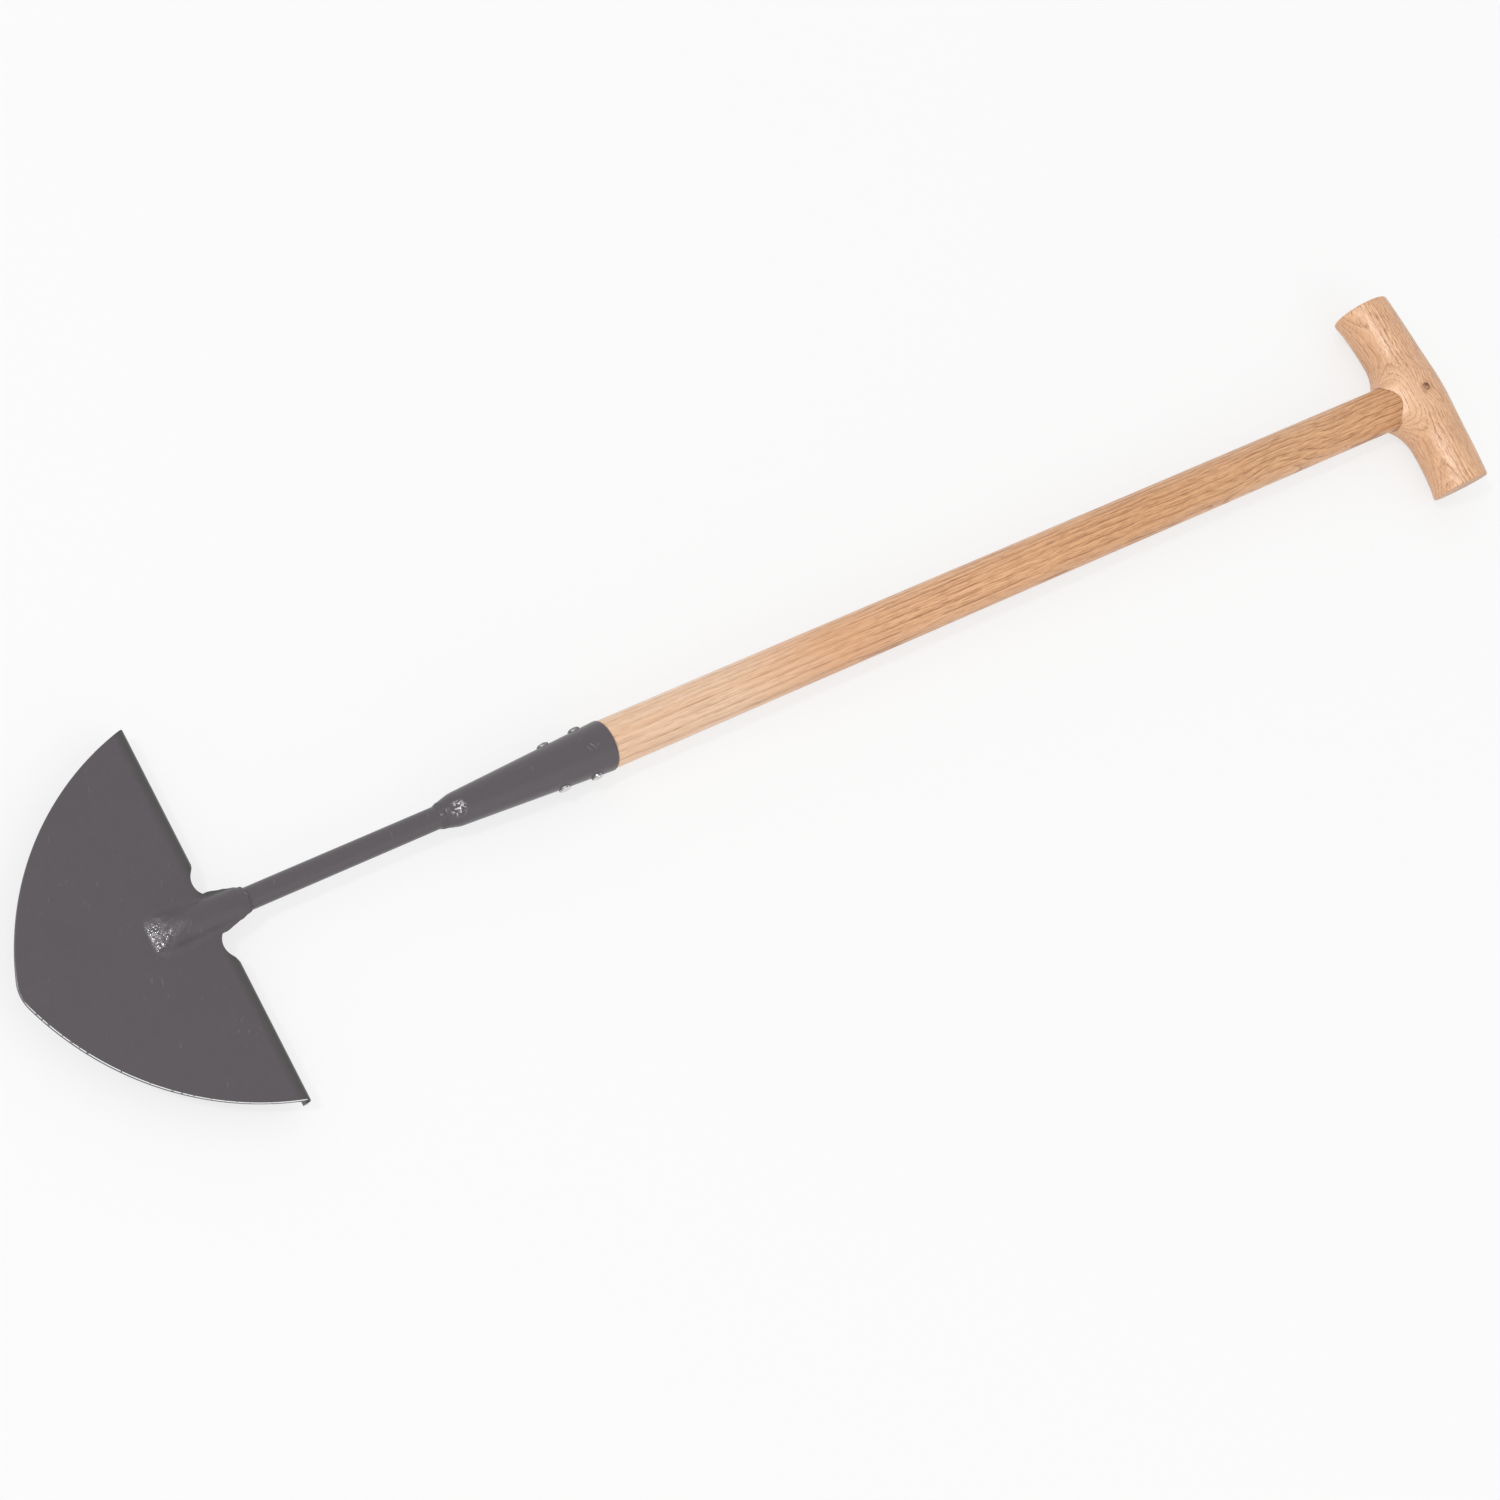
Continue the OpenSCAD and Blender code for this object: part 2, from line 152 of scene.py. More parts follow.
class EdgerFinish(bpy.types.PropertyGroup):
    """Colours and gloss of the finishes."""
    paint: tint("Paint", "Grey of the paint", (0.085, 0.073, 0.082))
    paint_worn: tint("Worn steel", "Bare steel at worn edges and nicks", (0.52, 0.50, 0.52))
    # The cutting edge's worn line is set much lighter than bare steel: worn steel with a painted highlight in it.
    edge_wear_and_highlight: tint("Cutting edge", "Bright line worn along the cutting edge", (0.88, 0.87, 0.88))
    # Also used as the colour of painted shade on the blade's folds and along the boss's flank.
    paint_burnt_and_shade: tint("Burnt paint", "Paint over the welds", (0.048, 0.046, 0.044))
    paint_rough: share("Paint roughness", "Roughness of the paint", 0.28)
    ash_pale: tint("Pale ash", "Handle near the socket", (0.915, 0.642, 0.450))
    ash_fair: tint("Fair ash", "Handle a quarter of the way up", (0.81, 0.459, 0.251))
    ash_straw: tint("Straw ash", "Handle a third of the way up", (0.878, 0.509, 0.284))
    ash_warm: tint("Warm ash", "Handle in its second half", (0.775, 0.420, 0.203))
    ash_sand: tint("Sand ash", "Handle before the grip", (0.80, 0.466, 0.245))
    ash_end: tint("End ash", "Handle at the grip", (0.775, 0.418, 0.199))
    ash_ring: tint("Ring brown", "Early wood and pores", (0.36, 0.155, 0.062))
    ash_fibre: tint("Fibre shade", "What is left of the tone in the darker fibres", (0.48, 0.34, 0.24))
    grip_pale: tint("Grip ash", "Light wood of the grip", (0.945, 0.583, 0.353))
    grip_warm: tint("Grip warm ash", "Darker wood of the grip", (0.71, 0.39, 0.195))
    wood_rough: share("Wood roughness", "Roughness of the lacquered wood", 0.36)
    steel: tint("Rivet steel", "Bright steel of the rivets", (0.74, 0.73, 0.73))
    peg: tint("Peg brown", "End grain of the peg", (0.40, 0.20, 0.10))


class EdgerStage(bpy.types.PropertyGroup):
    """Floor, light and camera."""
    lens: FloatProperty(name="Lens", description="Focal length on a 36 mm sensor", default=86.581, unit="CAMERA")
    place: FloatVectorProperty(name="Camera", description="Place of the camera", size=3, unit="LENGTH",
                               subtype="TRANSLATION", default=(-1.02779, -0.31345, 1.74158))
    turn: FloatVectorProperty(name="Camera turn", description="Turn of the camera", size=3, subtype="EULER",
                              default=(0.373816, -0.381348, -0.530012))
    sky: share("Sky", "Level of the light from all round", 0.80)
    key: FloatProperty(name="Key", description="Far key light", default=70.0, unit="POWER")
    gloss: FloatProperty(name="Gloss", description="Light beside the key that shows in gloss alone", default=175.0,
                         unit="POWER")
    fill: FloatProperty(name="Fill", description="Low soft light from the front", default=10.0, unit="POWER")
    floor: tint("Floor", "Colour of the floor", (0.88, 0.88, 0.88))
    floor_white: share("Floor white", "Share of plain white that the camera sees in the floor", 0.72)


# Shader building
class Wire:
    """An output socket: arithmetic on it adds Math nodes."""

    def __init__(self, finish, socket):
        self.finish = finish
        self.socket = socket

    def math(self, operation, *values):
        return self.finish.maths(operation, self, *values)

    def __add__(self, other):
        return self.math("ADD", other)

    def __sub__(self, other):
        return self.math("SUBTRACT", other)

    def __rsub__(self, other):
        return self.finish.maths("SUBTRACT", other, self)

    def __mul__(self, other):
        return self.math("MULTIPLY", other)

    def __truediv__(self, other):
        return self.math("DIVIDE", other)

    def __rtruediv__(self, other):
        return self.finish.maths("DIVIDE", other, self)

    __radd__ = __add__
    __rmul__ = __mul__


class Finish:
    """The nodes of a material or of the world, all made by one method."""

    def __init__(self, owner):
        owner.use_nodes = True
        self.owner = owner
        self.tree = owner.node_tree
        self.tree.nodes.clear()

    def node(self, kind, settings=None, values=None, out=0):
        """Adds a node: first its settings, then the values or links of its sockets."""
        made = self.tree.nodes.new("ShaderNode" + kind)
        for key, value in (settings or {}).items():
            if key == "stops":
                ramp = made.color_ramp
                while len(ramp.elements) < len(value):
                    ramp.elements.new(0.5)
                for stop, (along, colour) in zip(ramp.elements, value):
                    stop.position, stop.color = along, (*colour, 1.0)
            else:
                setattr(made, key, value)
        for key, value in (values or {}).items():
            self.feed(made.inputs[key], value)
        return Wire(self, made.outputs[out]) if made.outputs else None

    def feed(self, socket, value):
        if isinstance(value, Wire):
            self.tree.links.new(value.socket, socket)
        elif socket.type == "RGBA":
            socket.default_value = (*value, 1.0)
        else:
            socket.default_value = value

    def maths(self, operation, *values):
        return self.node("Math", {"operation": operation}, dict(enumerate(values)))

    def place(self):
        """The point's coordinates in the part's frame, in metres."""
        return self.node("TexCoord", out="Object")

    def split(self, vector):
        return [self.node("SeparateXYZ", values={0: vector}, out=i) for i in range(3)]

    def vector(self, x, y, z):
        return self.node("CombineXYZ", values={0: x, 1: y, 2: z})

    def moved(self, where, x, y):
        """A place moved by amounts that vary."""
        return self.node("VectorMath", {"operation": "ADD"}, {0: where, 1: self.vector(x, y, 0.0)})

    def noise(self, where, scale, detail=2.0, rough=0.5):
        return self.node("TexNoise", values={"Vector": where, "Scale": scale, "Detail": detail, "Roughness": rough})

    def streaks(self, x, y, z, detail=1.0, rough=0.5):
        """Noise with a scale of its own along each axis."""
        return self.noise(self.vector(x, y, z), 1.0, detail, rough)

    def smooth(self, value, low, high):
        """0 at low and 1 at high, whichever of them is the lesser."""
        return self.node("MapRange", {"interpolation_type": "SMOOTHSTEP"},
                         {"Value": value, "From Min": low, "From Max": high})

    def band(self, value, low, full, still, high):
        """1 from full to still, and 0 before low and past high."""
        return self.smooth(value, low, full) * self.smooth(value, high, still)

    def mix(self, part, first, second, blend="MIX"):
        return self.node("Mix", {"data_type": "RGBA", "blend_type": blend}, {0: part, 6: first, 7: second}, out=2)

    def away(self, where, centre):
        return self.node("VectorMath", {"operation": "DISTANCE"}, {0: where, 1: centre}, out=1)

    def near(self, where, centre, inner, outer):
        """1 within inner of a point and 0 past outer."""
        return self.smooth(self.away(where, centre), outer, inner)

    def bump(self, height, depth):
        return self.node("Bump", values={"Height": height, "Distance": depth})

    def principled(self, **values):
        return self.node("BsdfPrincipled", values={key.replace("_", " "): value for key, value in values.items()})

    def dress(self, **values):
        """Ends a material on a Principled shader with these values."""
        self.node("OutputMaterial", values={0: self.principled(**values)})
        return self.owner


def at(x, y, z):
    """A point in the part's frame from a station past the tread line and offsets from the tool's axis."""
    return Vector((TREAD_X + x, y, AXIS_Z + z))


def extent(node):
    """First and last station of a node."""
    return [corner.x - TREAD_X for corner in SPAN[node]]


def scaled(colour, level):
    return tuple(c * level for c in colour)


def paint_finish(look, name, marks=(), nick=None, edge=None, thick=None, painted_shade_and_dark_paint=None, peel=1.0, burnt=0.0, level=1.0):
    """Satin powder paint with orange peel, dust flecks, fine scratches and worn steel where it is rubbed, with painted
    shade and a painted highlight where a part asks for them.
    """
    f = Finish(bpy.data.materials.new(name))
    p = f.place()
    x, y, z = f.split(p)
    drift = f.noise(p, 42.0, 3.0, 0.55)
    mottle = f.noise(p, 260.0, 2.0, 0.6)
    grain = f.noise(p, 900.0)
    dust = f.smooth(f.streaks(x * 520.0 - y * 210.0, x * 45.0 + y * 110.0, z * 300.0), 0.715, 0.79)
    # level scales a part's paint; the blade's lower level is painted shade.
    tone = f.mix(drift * 0.4 + mottle * 0.6, scaled(look.paint, 0.91 * level), scaled(look.paint, 1.09 * level))
    tone = f.mix(dust * 0.055, tone, look.paint_worn)
    # Painted shade, and darker paint, from the caller, mixed towards the burnt paint colour.
    if painted_shade_and_dark_paint:
        tone = f.mix(painted_shade_and_dark_paint(f, x, y), tone, look.paint_burnt_and_shade)
    if burnt:
        tone = f.mix(f.smooth(mottle, 0.35, 0.65) * burnt, tone, look.paint_burnt_and_shade)
    slanted = f.streaks(x * 60.0 + y * 120.0, y * 1500.0 - x * 900.0, z * 200.0)
    crossing = f.streaks(x * 1300.0 + y * 700.0, y * 70.0 - x * 120.0, z * 200.0)
    lines = f.smooth(slanted, 0.735, 0.77) + f.smooth(crossing, 0.75, 0.79)
    worn = lines * f.smooth(drift, 0.62, 0.74) * 0.18
    for *spot, amount in marks:
        worn = worn + lines * f.near(p, *spot) * amount
    if nick:
        cells = f.node("TexVoronoi", {"feature": "DISTANCE_TO_EDGE"},
                       {"Vector": f.moved(p, grain * 0.0016, mottle * 0.003), "Scale": 400.0})
        crack = f.smooth(cells, 0.18, 0.06) * f.smooth(f.noise(p, 520.0, 1.0), 0.46, 0.54)
        worn = worn + crack * f.near(p, *nick)
    worn = f.node("Clamp", values={0: worn})
    height = grain * 0.75 + mottle * 0.25 - worn * 0.4
    rough = look.paint_rough + burnt * 0.22 + drift * 0.08 + worn * 0.05
    if thick:
        end = f.smooth(z, AXIS_Z + 1.25 * MM, AXIS_Z + 1.9 * MM) * f.smooth(x, TREAD_X - 12 * MM, TREAD_X - 26 * MM)
        ragged = f.moved(p, (mottle - 0.5) * 0.019, (grain - 0.5) * 0.013)
        glossy = 0.0
        for spot in thick:
            glossy = f.near(ragged, *spot).math("MAXIMUM", glossy)
        glossy = glossy * end
        height = (height - 0.5) * (1 + end * 1.6 - glossy * 0.7)
        rough = rough + end * 0.17 - glossy * 0.35
    # The edge's shade is painted shade under the cutting edge.
    if edge:
        bright, shade = edge(f, x, y, z)
        tone = f.mix(shade, tone, scaled(look.paint, 0.22))
    tone = f.mix(worn, tone, look.paint_worn)
    # Worn bright line along the cutting edge, lightened into a painted highlight.
    if edge:
        tone = f.mix(bright * f.smooth(f.noise(p, 520.0, 2.0, 0.6), 0.30, 0.42), tone, look.edge_wear_and_highlight)
    return f.dress(Base_Color=tone, Roughness=rough, Metallic=worn * 0.7, Normal=f.bump(height, 0.17 * MM * peel))


def ash_finish(look, name, run, heart, gap, wave, tones, fade, spots, strength=1.0, relief=1.0, stretch=1.0, knot=None,
               wild=None):
    """Lacquered ash: growth rings round a heart line, open pores, fibre streaks and a slow change of tone."""
    f = Finish(bpy.data.materials.new(name))
    p = f.place()
    x, y, z = f.split(p)
    g, a, b = (x, y, z) if run == "X" else (y, x, z)

    def streaks(along, across, detail=1.0, rough=0.5):
        return f.streaks(g * along, a * across, b * across, detail, rough)

    slow = streaks(4.0, 18.0, 2.0)
    ripple = streaks(30.0, 100.0, 2.0, 0.55)
    side = a - heart[0] + (slow - 0.5) * (wave[0] * gap) + (ripple - 0.5) * (wave[1] * gap)
    if wild:
        side = side + (streaks(16.0, 30.0, 2.0) - 0.5) * f.smooth(g, *wild) * (5.0 * gap)
    if knot:
        side = side + f.near(p, knot, 1.5 * MM, 14 * MM) * (1.6 * gap)
    deep = b - heart[1]
    ring = (side * side + deep * deep).math("SQRT")
    turn = ring / gap + f.streaks(ring * 80.0, 0.0, 0.0) * 1.5
    saw = turn.math("FRACT")
    early = f.band(saw, 0.0, 0.05, 0.08, 0.28)
    late = f.smooth(saw, 0.45, 1.0)
    dash = f.smooth(streaks(75.0 / stretch, 620.0), 0.40, 0.60)
    pore = f.smooth(streaks(170.0 / stretch, 1700.0), 0.56, 0.68)
    fibre = streaks(45.0 / stretch, 1200.0, 2.0, 0.6)
    speckle = streaks(260.0 / stretch, 1500.0, 2.0, 0.6)
    cloud = streaks(14.0 / stretch, 55.0, 2.0)
    tone = f.mix((cloud - 0.32) * 0.40, tones(f, x), look.grip_warm)
    ease = fade(f, p, x)
    shade = (f.smooth(fibre, 0.42, 0.68) * 0.30 + f.smooth(speckle, 0.47, 0.62) * 0.38 + late * 0.20) * ease
    tone = f.mix(shade, tone, look.ash_fibre, "MULTIPLY")
    figure = (turn * 0.31 + slow * 2.0).math("FRACT")
    tone = f.mix(f.band(figure, 0.0, 0.75, 0.78, 1.0) * 0.26, tone, look.grip_warm)
    line = (early * (0.12 + 0.38 * dash) + pore * (0.08 + 0.24 * early)) * strength * ease
    if knot:
        line = line + f.near(p, knot, 2.6 * MM, 7 * MM) * (0.10 + 0.42 * f.smooth(fibre, 0.42, 0.65))
    line = line + spots(f, p, x, y, z) * (0.25 + 0.5 * fibre + 1.1 * early + 0.5 * pore)
    line = f.node("Clamp", values={0: line})
    height = fibre * 0.5 + speckle * 0.3 - early * 0.30 - pore * (0.25 + early) * 0.6
    rough = look.wood_rough + line * 0.16 + (fibre - 0.5) * 0.12
    return f.dress(Base_Color=f.mix(line, tone, look.ash_ring), Roughness=rough, Sheen_Weight=0.20,
                   Sheen_Roughness=0.35, Normal=f.bump(height, 0.14 * MM * relief))


def steel_finish(look, name, centres):
    """Plain bright steel of set rivets, with fine lines, a grey bloom and painted shade at the heads' rims, wider on
    the +y side.
    """
    f = Finish(bpy.data.materials.new(name))
    p = f.place()
    x, y, z = f.split(p)
    lines = f.streaks(x * 2600.0, y * 700.0, z * 400.0, 2.0)
    bloom = f.noise(p, 700.0, 3.0, 0.6)
    beside = (x - centres[0]).math("ABSOLUTE").math("MINIMUM", (x - centres[1]).math("ABSOLUTE"))
    up = z - AXIS_Z
    away = (beside * beside + up * up).math("SQRT")
    # Painted shade: a dark rim round each head, reaching further in on the +y side.
    shade = f.smooth(y, -5 * MM, 5 * MM)
    rim = f.smooth(away + (bloom - 0.5) * 0.0012 + shade * 0.0014, 3.2 * MM, 3.6 * MM)
    tone = f.mix(f.smooth(bloom, 0.42, 0.70), look.steel, scaled(look.steel, 0.66))
    tone = f.mix(rim * 0.8, tone, scaled(look.steel, 0.16))
    return f.dress(Base_Color=tone, Metallic=1.0, Roughness=0.26 + bloom * 0.22 + rim * 0.15,
                   Normal=f.bump(lines * 0.4 + bloom, 0.16 * MM))


def peg_finish(look, name):
    """Dark end grain with uneven rings and a darker side."""
    f = Finish(bpy.data.materials.new(name))
    p = f.place()
    y = f.split(p)[1]
    top = SPAN["grip_peg"][1].z
    wander = f.noise(p, 420.0, 3.0, 0.6)
    away = f.away(p, (GRIP_X - 0.3 * MM, -0.3 * MM, top)) + (wander - 0.5) * 0.0024
    rings = (away * 900.0).math("SINE") * 0.5 + 0.5
    rim = f.smooth(away, 1.9 * MM, 2.6 * MM)
    hole = f.near(p, (GRIP_X + 1.2 * MM, 1.3 * MM, top), 0.7 * MM, 1.9 * MM)
    tone = f.mix(f.smooth(wander, 0.46, 0.66) * 0.7, look.peg, look.grip_warm)
    tone = f.mix(rings * 0.25 + rim * f.smooth(y, 2 * MM, -1 * MM) * 0.4, tone, scaled(look.peg, 0.5))
    tone = f.mix(hole * 0.85, tone, scaled(look.peg, 0.30))
    return f.dress(Base_Color=tone, Roughness=0.45 + rings * 0.1, Normal=f.bump(rings * 0.5 - hole, 0.2 * MM))


# Mesh building
def spaced(first, last, count):
    """Values from first to last in equal steps."""
    return [first + (last - first) * i / count for i in range(count + 1)]


def patch(bm, columns, rows, place):
    """Adds a grid and puts each of its vertices where place says, by its column and row."""
    for vert in bmesh.ops.create_grid(bm, x_segments=columns, y_segments=rows, size=1.0)["verts"]:
        vert.co = place(round((vert.co.x + 1) / 2 * columns), round((vert.co.y + 1) / 2 * rows))


def turned(bm, outline, cent, axis, steps):
    """Spins a line of points into a closed turned solid."""
    verts = [bm.verts.new(point) for point in outline]
    edges = [bm.edges.new(pair) for pair in zip(verts, verts[1:])]
    bmesh.ops.spin(bm, geom=verts + edges, cent=cent, axis=axis, angle=math.tau, steps=steps, use_merge=True)


def along_x(points, pieces=1):
    """Points of a profile about the tool's axis, from stations and radii, each stretch cut into pieces."""
    line = []
    for (x0, r0), (x1, r1) in zip(points, points[1:]):
        count = pieces if abs(x1 - x0) > 20 * MM else 1
        line += [at(x0 + (x1 - x0) * i / count, 0, r0 + (r1 - r0) * i / count) for i in range(count)]
    return line + [at(points[-1][0], 0, points[-1][1])]


def eased(points, corner, radius, steps=5):
    """The profile with one of its corners rounded."""
    (x0, r0), (x1, r1), (x2, r2) = points[corner - 1:corner + 2]
    back, ahead = Vector((x0 - x1, r0 - r1)), Vector((x2 - x1, r2 - r1))
    start = Vector((x1, r1)) + back.normalized() * min(radius, back.length * 0.49)
    end = Vector((x1, r1)) + ahead.normalized() * min(radius, ahead.length * 0.49)
    bend = []
    for i in range(steps + 1):
        t = i / steps
        point = start * (1 - t) ** 2 + Vector((x1, r1)) * 2 * t * (1 - t) + end * t * t
        bend.append((point.x, point.y))
    return points[:corner] + bend + points[corner + 1:]


def closed(bm):
    """Merges seams and poles and turns the faces outwards."""
    bmesh.ops.remove_doubles(bm, verts=bm.verts, dist=0.01 * MM)
    bmesh.ops.dissolve_degenerate(bm, edges=bm.edges, dist=0.005 * MM)
    bmesh.ops.recalc_face_normals(bm, faces=bm.faces)


def bead(bm, path, radius, steps, sides=14):
    """A weld bead along a path that gives a point and two directions across it for a share from 0 to 1."""
    def place(i, j):
        middle, out, beside = path(i / steps)
        angle = math.tau * j / sides
        rough = radius(i / steps)
        return middle + out * (math.cos(angle) * rough) + beside * (math.sin(angle) * rough)

    patch(bm, steps, sides, place)


def clamped(value):
    return max(0.0, min(1.0, value))


def eased_step(value, low, high):
    """0 at low and 1 at high, smooth between them."""
    part = clamped((value - low) / (high - low))
    return part * part * (3 - 2 * part)


def soft_least(first, second, width):
    """The lesser of two lengths, with the change from one to the other rounded."""
    near = max(0.0, width - abs(first - second))
    return min(first, second) - near * near / (4 * width)


def lumpy(point, scale, amount):
    """A smooth uneven amount that depends on the place alone."""
    return noise.noise(point * scale) * amount


def lathe(outline, steps, cent=at(0, 0, 0), axis=(1, 0, 0)):
    """A closed solid turned about the tool's axis or another one."""
    bm = bmesh.new()
    turned(bm, outline, cent, axis, steps)
    closed(bm)
    return bm


def peg_lathe(points):
    """A closed solid turned about the peg's axis, from radii and heights."""
    return lathe([Vector((GRIP_X + r, 0, h)) for r, h in points], 40, (GRIP_X, 0, 0), (0, 0, 1))


def off_axis(point):
    """The way to a point from the tool's axis."""
    return Vector((0.0, point.y, point.z - AXIS_Z))


def linked(name, data):
    """An object in the scene with its mesh, lamp or camera."""
    made = bpy.data.objects.new(name, data)
    bpy.context.scene.collection.objects.link(made)
    return made


def meshed(name, bm):
    mesh = bpy.data.meshes.new(name)
    bm.to_mesh(mesh)
    bm.free()
    return linked(name, mesh)


def smoothed(mesh, sharp):
    mesh.shade_smooth()
    mesh.set_sharp_from_angle(angle=math.radians(sharp))


def finished(name, bm, material, node, sharp=40.0):
    """Makes a piece of the mesh: smooth, dressed, riding on the tool and standing for its node."""
    piece = meshed(name, bm)
    smoothed(piece.data, sharp)
    piece.data.materials.append(material)
    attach(piece, "root")
    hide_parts(node)
    return piece


class BladeForm:
    """Where the points of the pressed sheet's front lie."""
    base = -11 * MM  # where the flat plate ends and the folds begin
    fine = -46 * MM  # where the finer rows round the boss begin
    strip = 1.2 * MM  # width of the faces along the cutting edge
    widened = -18 * MM  # where the boss has its full bell section
    crown = 4.5 * MM  # rounding between the boss and its sloped end
    toe = 3 * MM  # rounding at the foot of that slope
    fold_in = 7 * MM  # way beside the neck over which the fold sets in

    def __init__(self, steel):
        self.s = steel
        chord = math.hypot(steel.depth, HALF_BLADE)
        self.arc_r = (chord * chord / 4 + steel.bow * steel.bow) / (2 * steel.bow)
        out = Vector((-HALF_BLADE, steel.depth)) / chord
        self.arc_c = Vector((-steel.depth, HALF_BLADE)) / 2 + out * (steel.bow - self.arc_r)
        reach = self.arc_r - steel.point_r
        self.point_c = self.arc_c.x - math.sqrt(reach * reach - self.arc_c.y ** 2)
        self.touch_y = self.arc_c.y - self.arc_c.y * self.arc_r / reach
        self.front = steel.sheet / 2
        self.foot = math.sqrt((steel.boss_r + steel.boss_fillet) ** 2 - (self.front + steel.boss_fillet) ** 2)
        self.touch_d = steel.boss_r * self.foot / (steel.boss_r + steel.boss_fillet)
        self.notch_r = (steel.notch_in ** 2 + (steel.tread_in - steel.notch_at) ** 2) / (2 * steel.notch_in)
        self.fold_end = steel.fold * (math.pi / 2 - 1)
        self.edge_y = self.corner_y()

    def cutting_edge(self, y):
        """X of the cutting edge."""
        a = abs(y)
        if a < self.touch_y:
            return self.point_c - math.sqrt(self.s.point_r ** 2 - a * a)
        return self.arc_c.x - math.sqrt(max(0.0, self.arc_r ** 2 - (a - self.arc_c.y) ** 2))

    def inside(self, x, y):
        """How far a point lies in from the cutting edge."""
        depth = self.arc_r - math.hypot(x - self.arc_c.x, abs(y) - self.arc_c.y)
        if abs(y) < self.touch_y and x < self.point_c:
            depth = min(depth, self.s.point_r - math.hypot(x - self.point_c, y))
        return depth

    def inward(self, edge):
        """The way in from a point on the cutting edge."""
        centre = Vector((self.point_c, 0.0))
        if abs(edge.y) > self.touch_y:
            centre = Vector((self.arc_c.x, self.arc_c.y if edge.y > 0 else -self.arc_c.y))
        return (centre - edge).normalized()

    def corner(self, y):
        """How far the tread's inner corner is eased at a distance from the axis."""
        s = self.s
        return s.ease * (1 - eased_step(abs(y - s.tread_in), 0.0, 2.6 * s.ease))

    def corner_y(self):
        return self.arc_c.y + math.sqrt(self.arc_r ** 2 - (self.arc_c.x - self.base) ** 2)

    def rise(self, x, y):
        """Height of the sheet's front over the tool's axis."""
        s = self.s
        away = abs(y)
        if away >= max(self.foot, s.bell):
            return self.front
        tall = s.boss_r - self.front
        bell = tall * math.cos(math.pi * away / (2 * s.bell)) ** 2 if away < s.bell else 0.0
        if away < self.touch_d:
            pressed = math.sqrt(s.boss_r ** 2 - away * away) - self.front
        elif away < self.foot:
            pressed = s.boss_fillet - math.sqrt(s.boss_fillet ** 2 - (self.foot - away) ** 2)
        else:
            pressed = 0.0
        up = pressed + (bell - pressed) * eased_step(x, 0.0, self.widened)
        slope = self.slope(x)
        end = clamped(slope / tall)
        spot = Vector((x, y, 0.0))
        rough = (lumpy(spot, 130.0, s.dent) + lumpy(spot, 300.0, 0.5 * s.dent)) * 4 * end * (1 - end)
        rough *= min(1.0, up / tall * 3)
        drop = s.neck_drop * (0.5 * eased_step(x, 0.0, s.neck_l) + 0.5 * eased_step(x, 0.7 * s.neck_l, s.neck_l))
        up = max(0.0, soft_least(up, slope, self.crown))
        return self.front + up + rough - drop * min(1.0, up / s.neck_drop)

    def slope(self, x):
        """Height of the plane that the boss ends on, eased at its foot."""
        s = self.s
        along, foot = max(0.0, x + s.boss_l + 0.9 * s.ramp), self.toe
        steep = (s.boss_r - self.front) / s.ramp * 1.08
        return steep * (along * along / (2 * foot) if along < foot else along - foot / 2)

    def sheet_x(self, run):
        """X and drop of the fold at a run along the sheet."""
        r = self.s.fold
        if run < -r:
            return run, 0.0
        bend = (run + r) / r
        return -r + r * math.sin(bend), r * (1 - math.cos(bend))

    def run_of(self, x):
        """Run along the sheet at an X of the fold."""
        r = self.s.fold
        return x if x < -r else -r + r * math.asin(max(-1.0, min(1.0, (x + r) / r)))

    def notch_x(self, y):
        """X of the round notch beside the neck."""
        away = abs(y) - self.s.notch_at
        return self.notch_r - self.s.notch_in - math.sqrt(self.notch_r ** 2 - away * away)


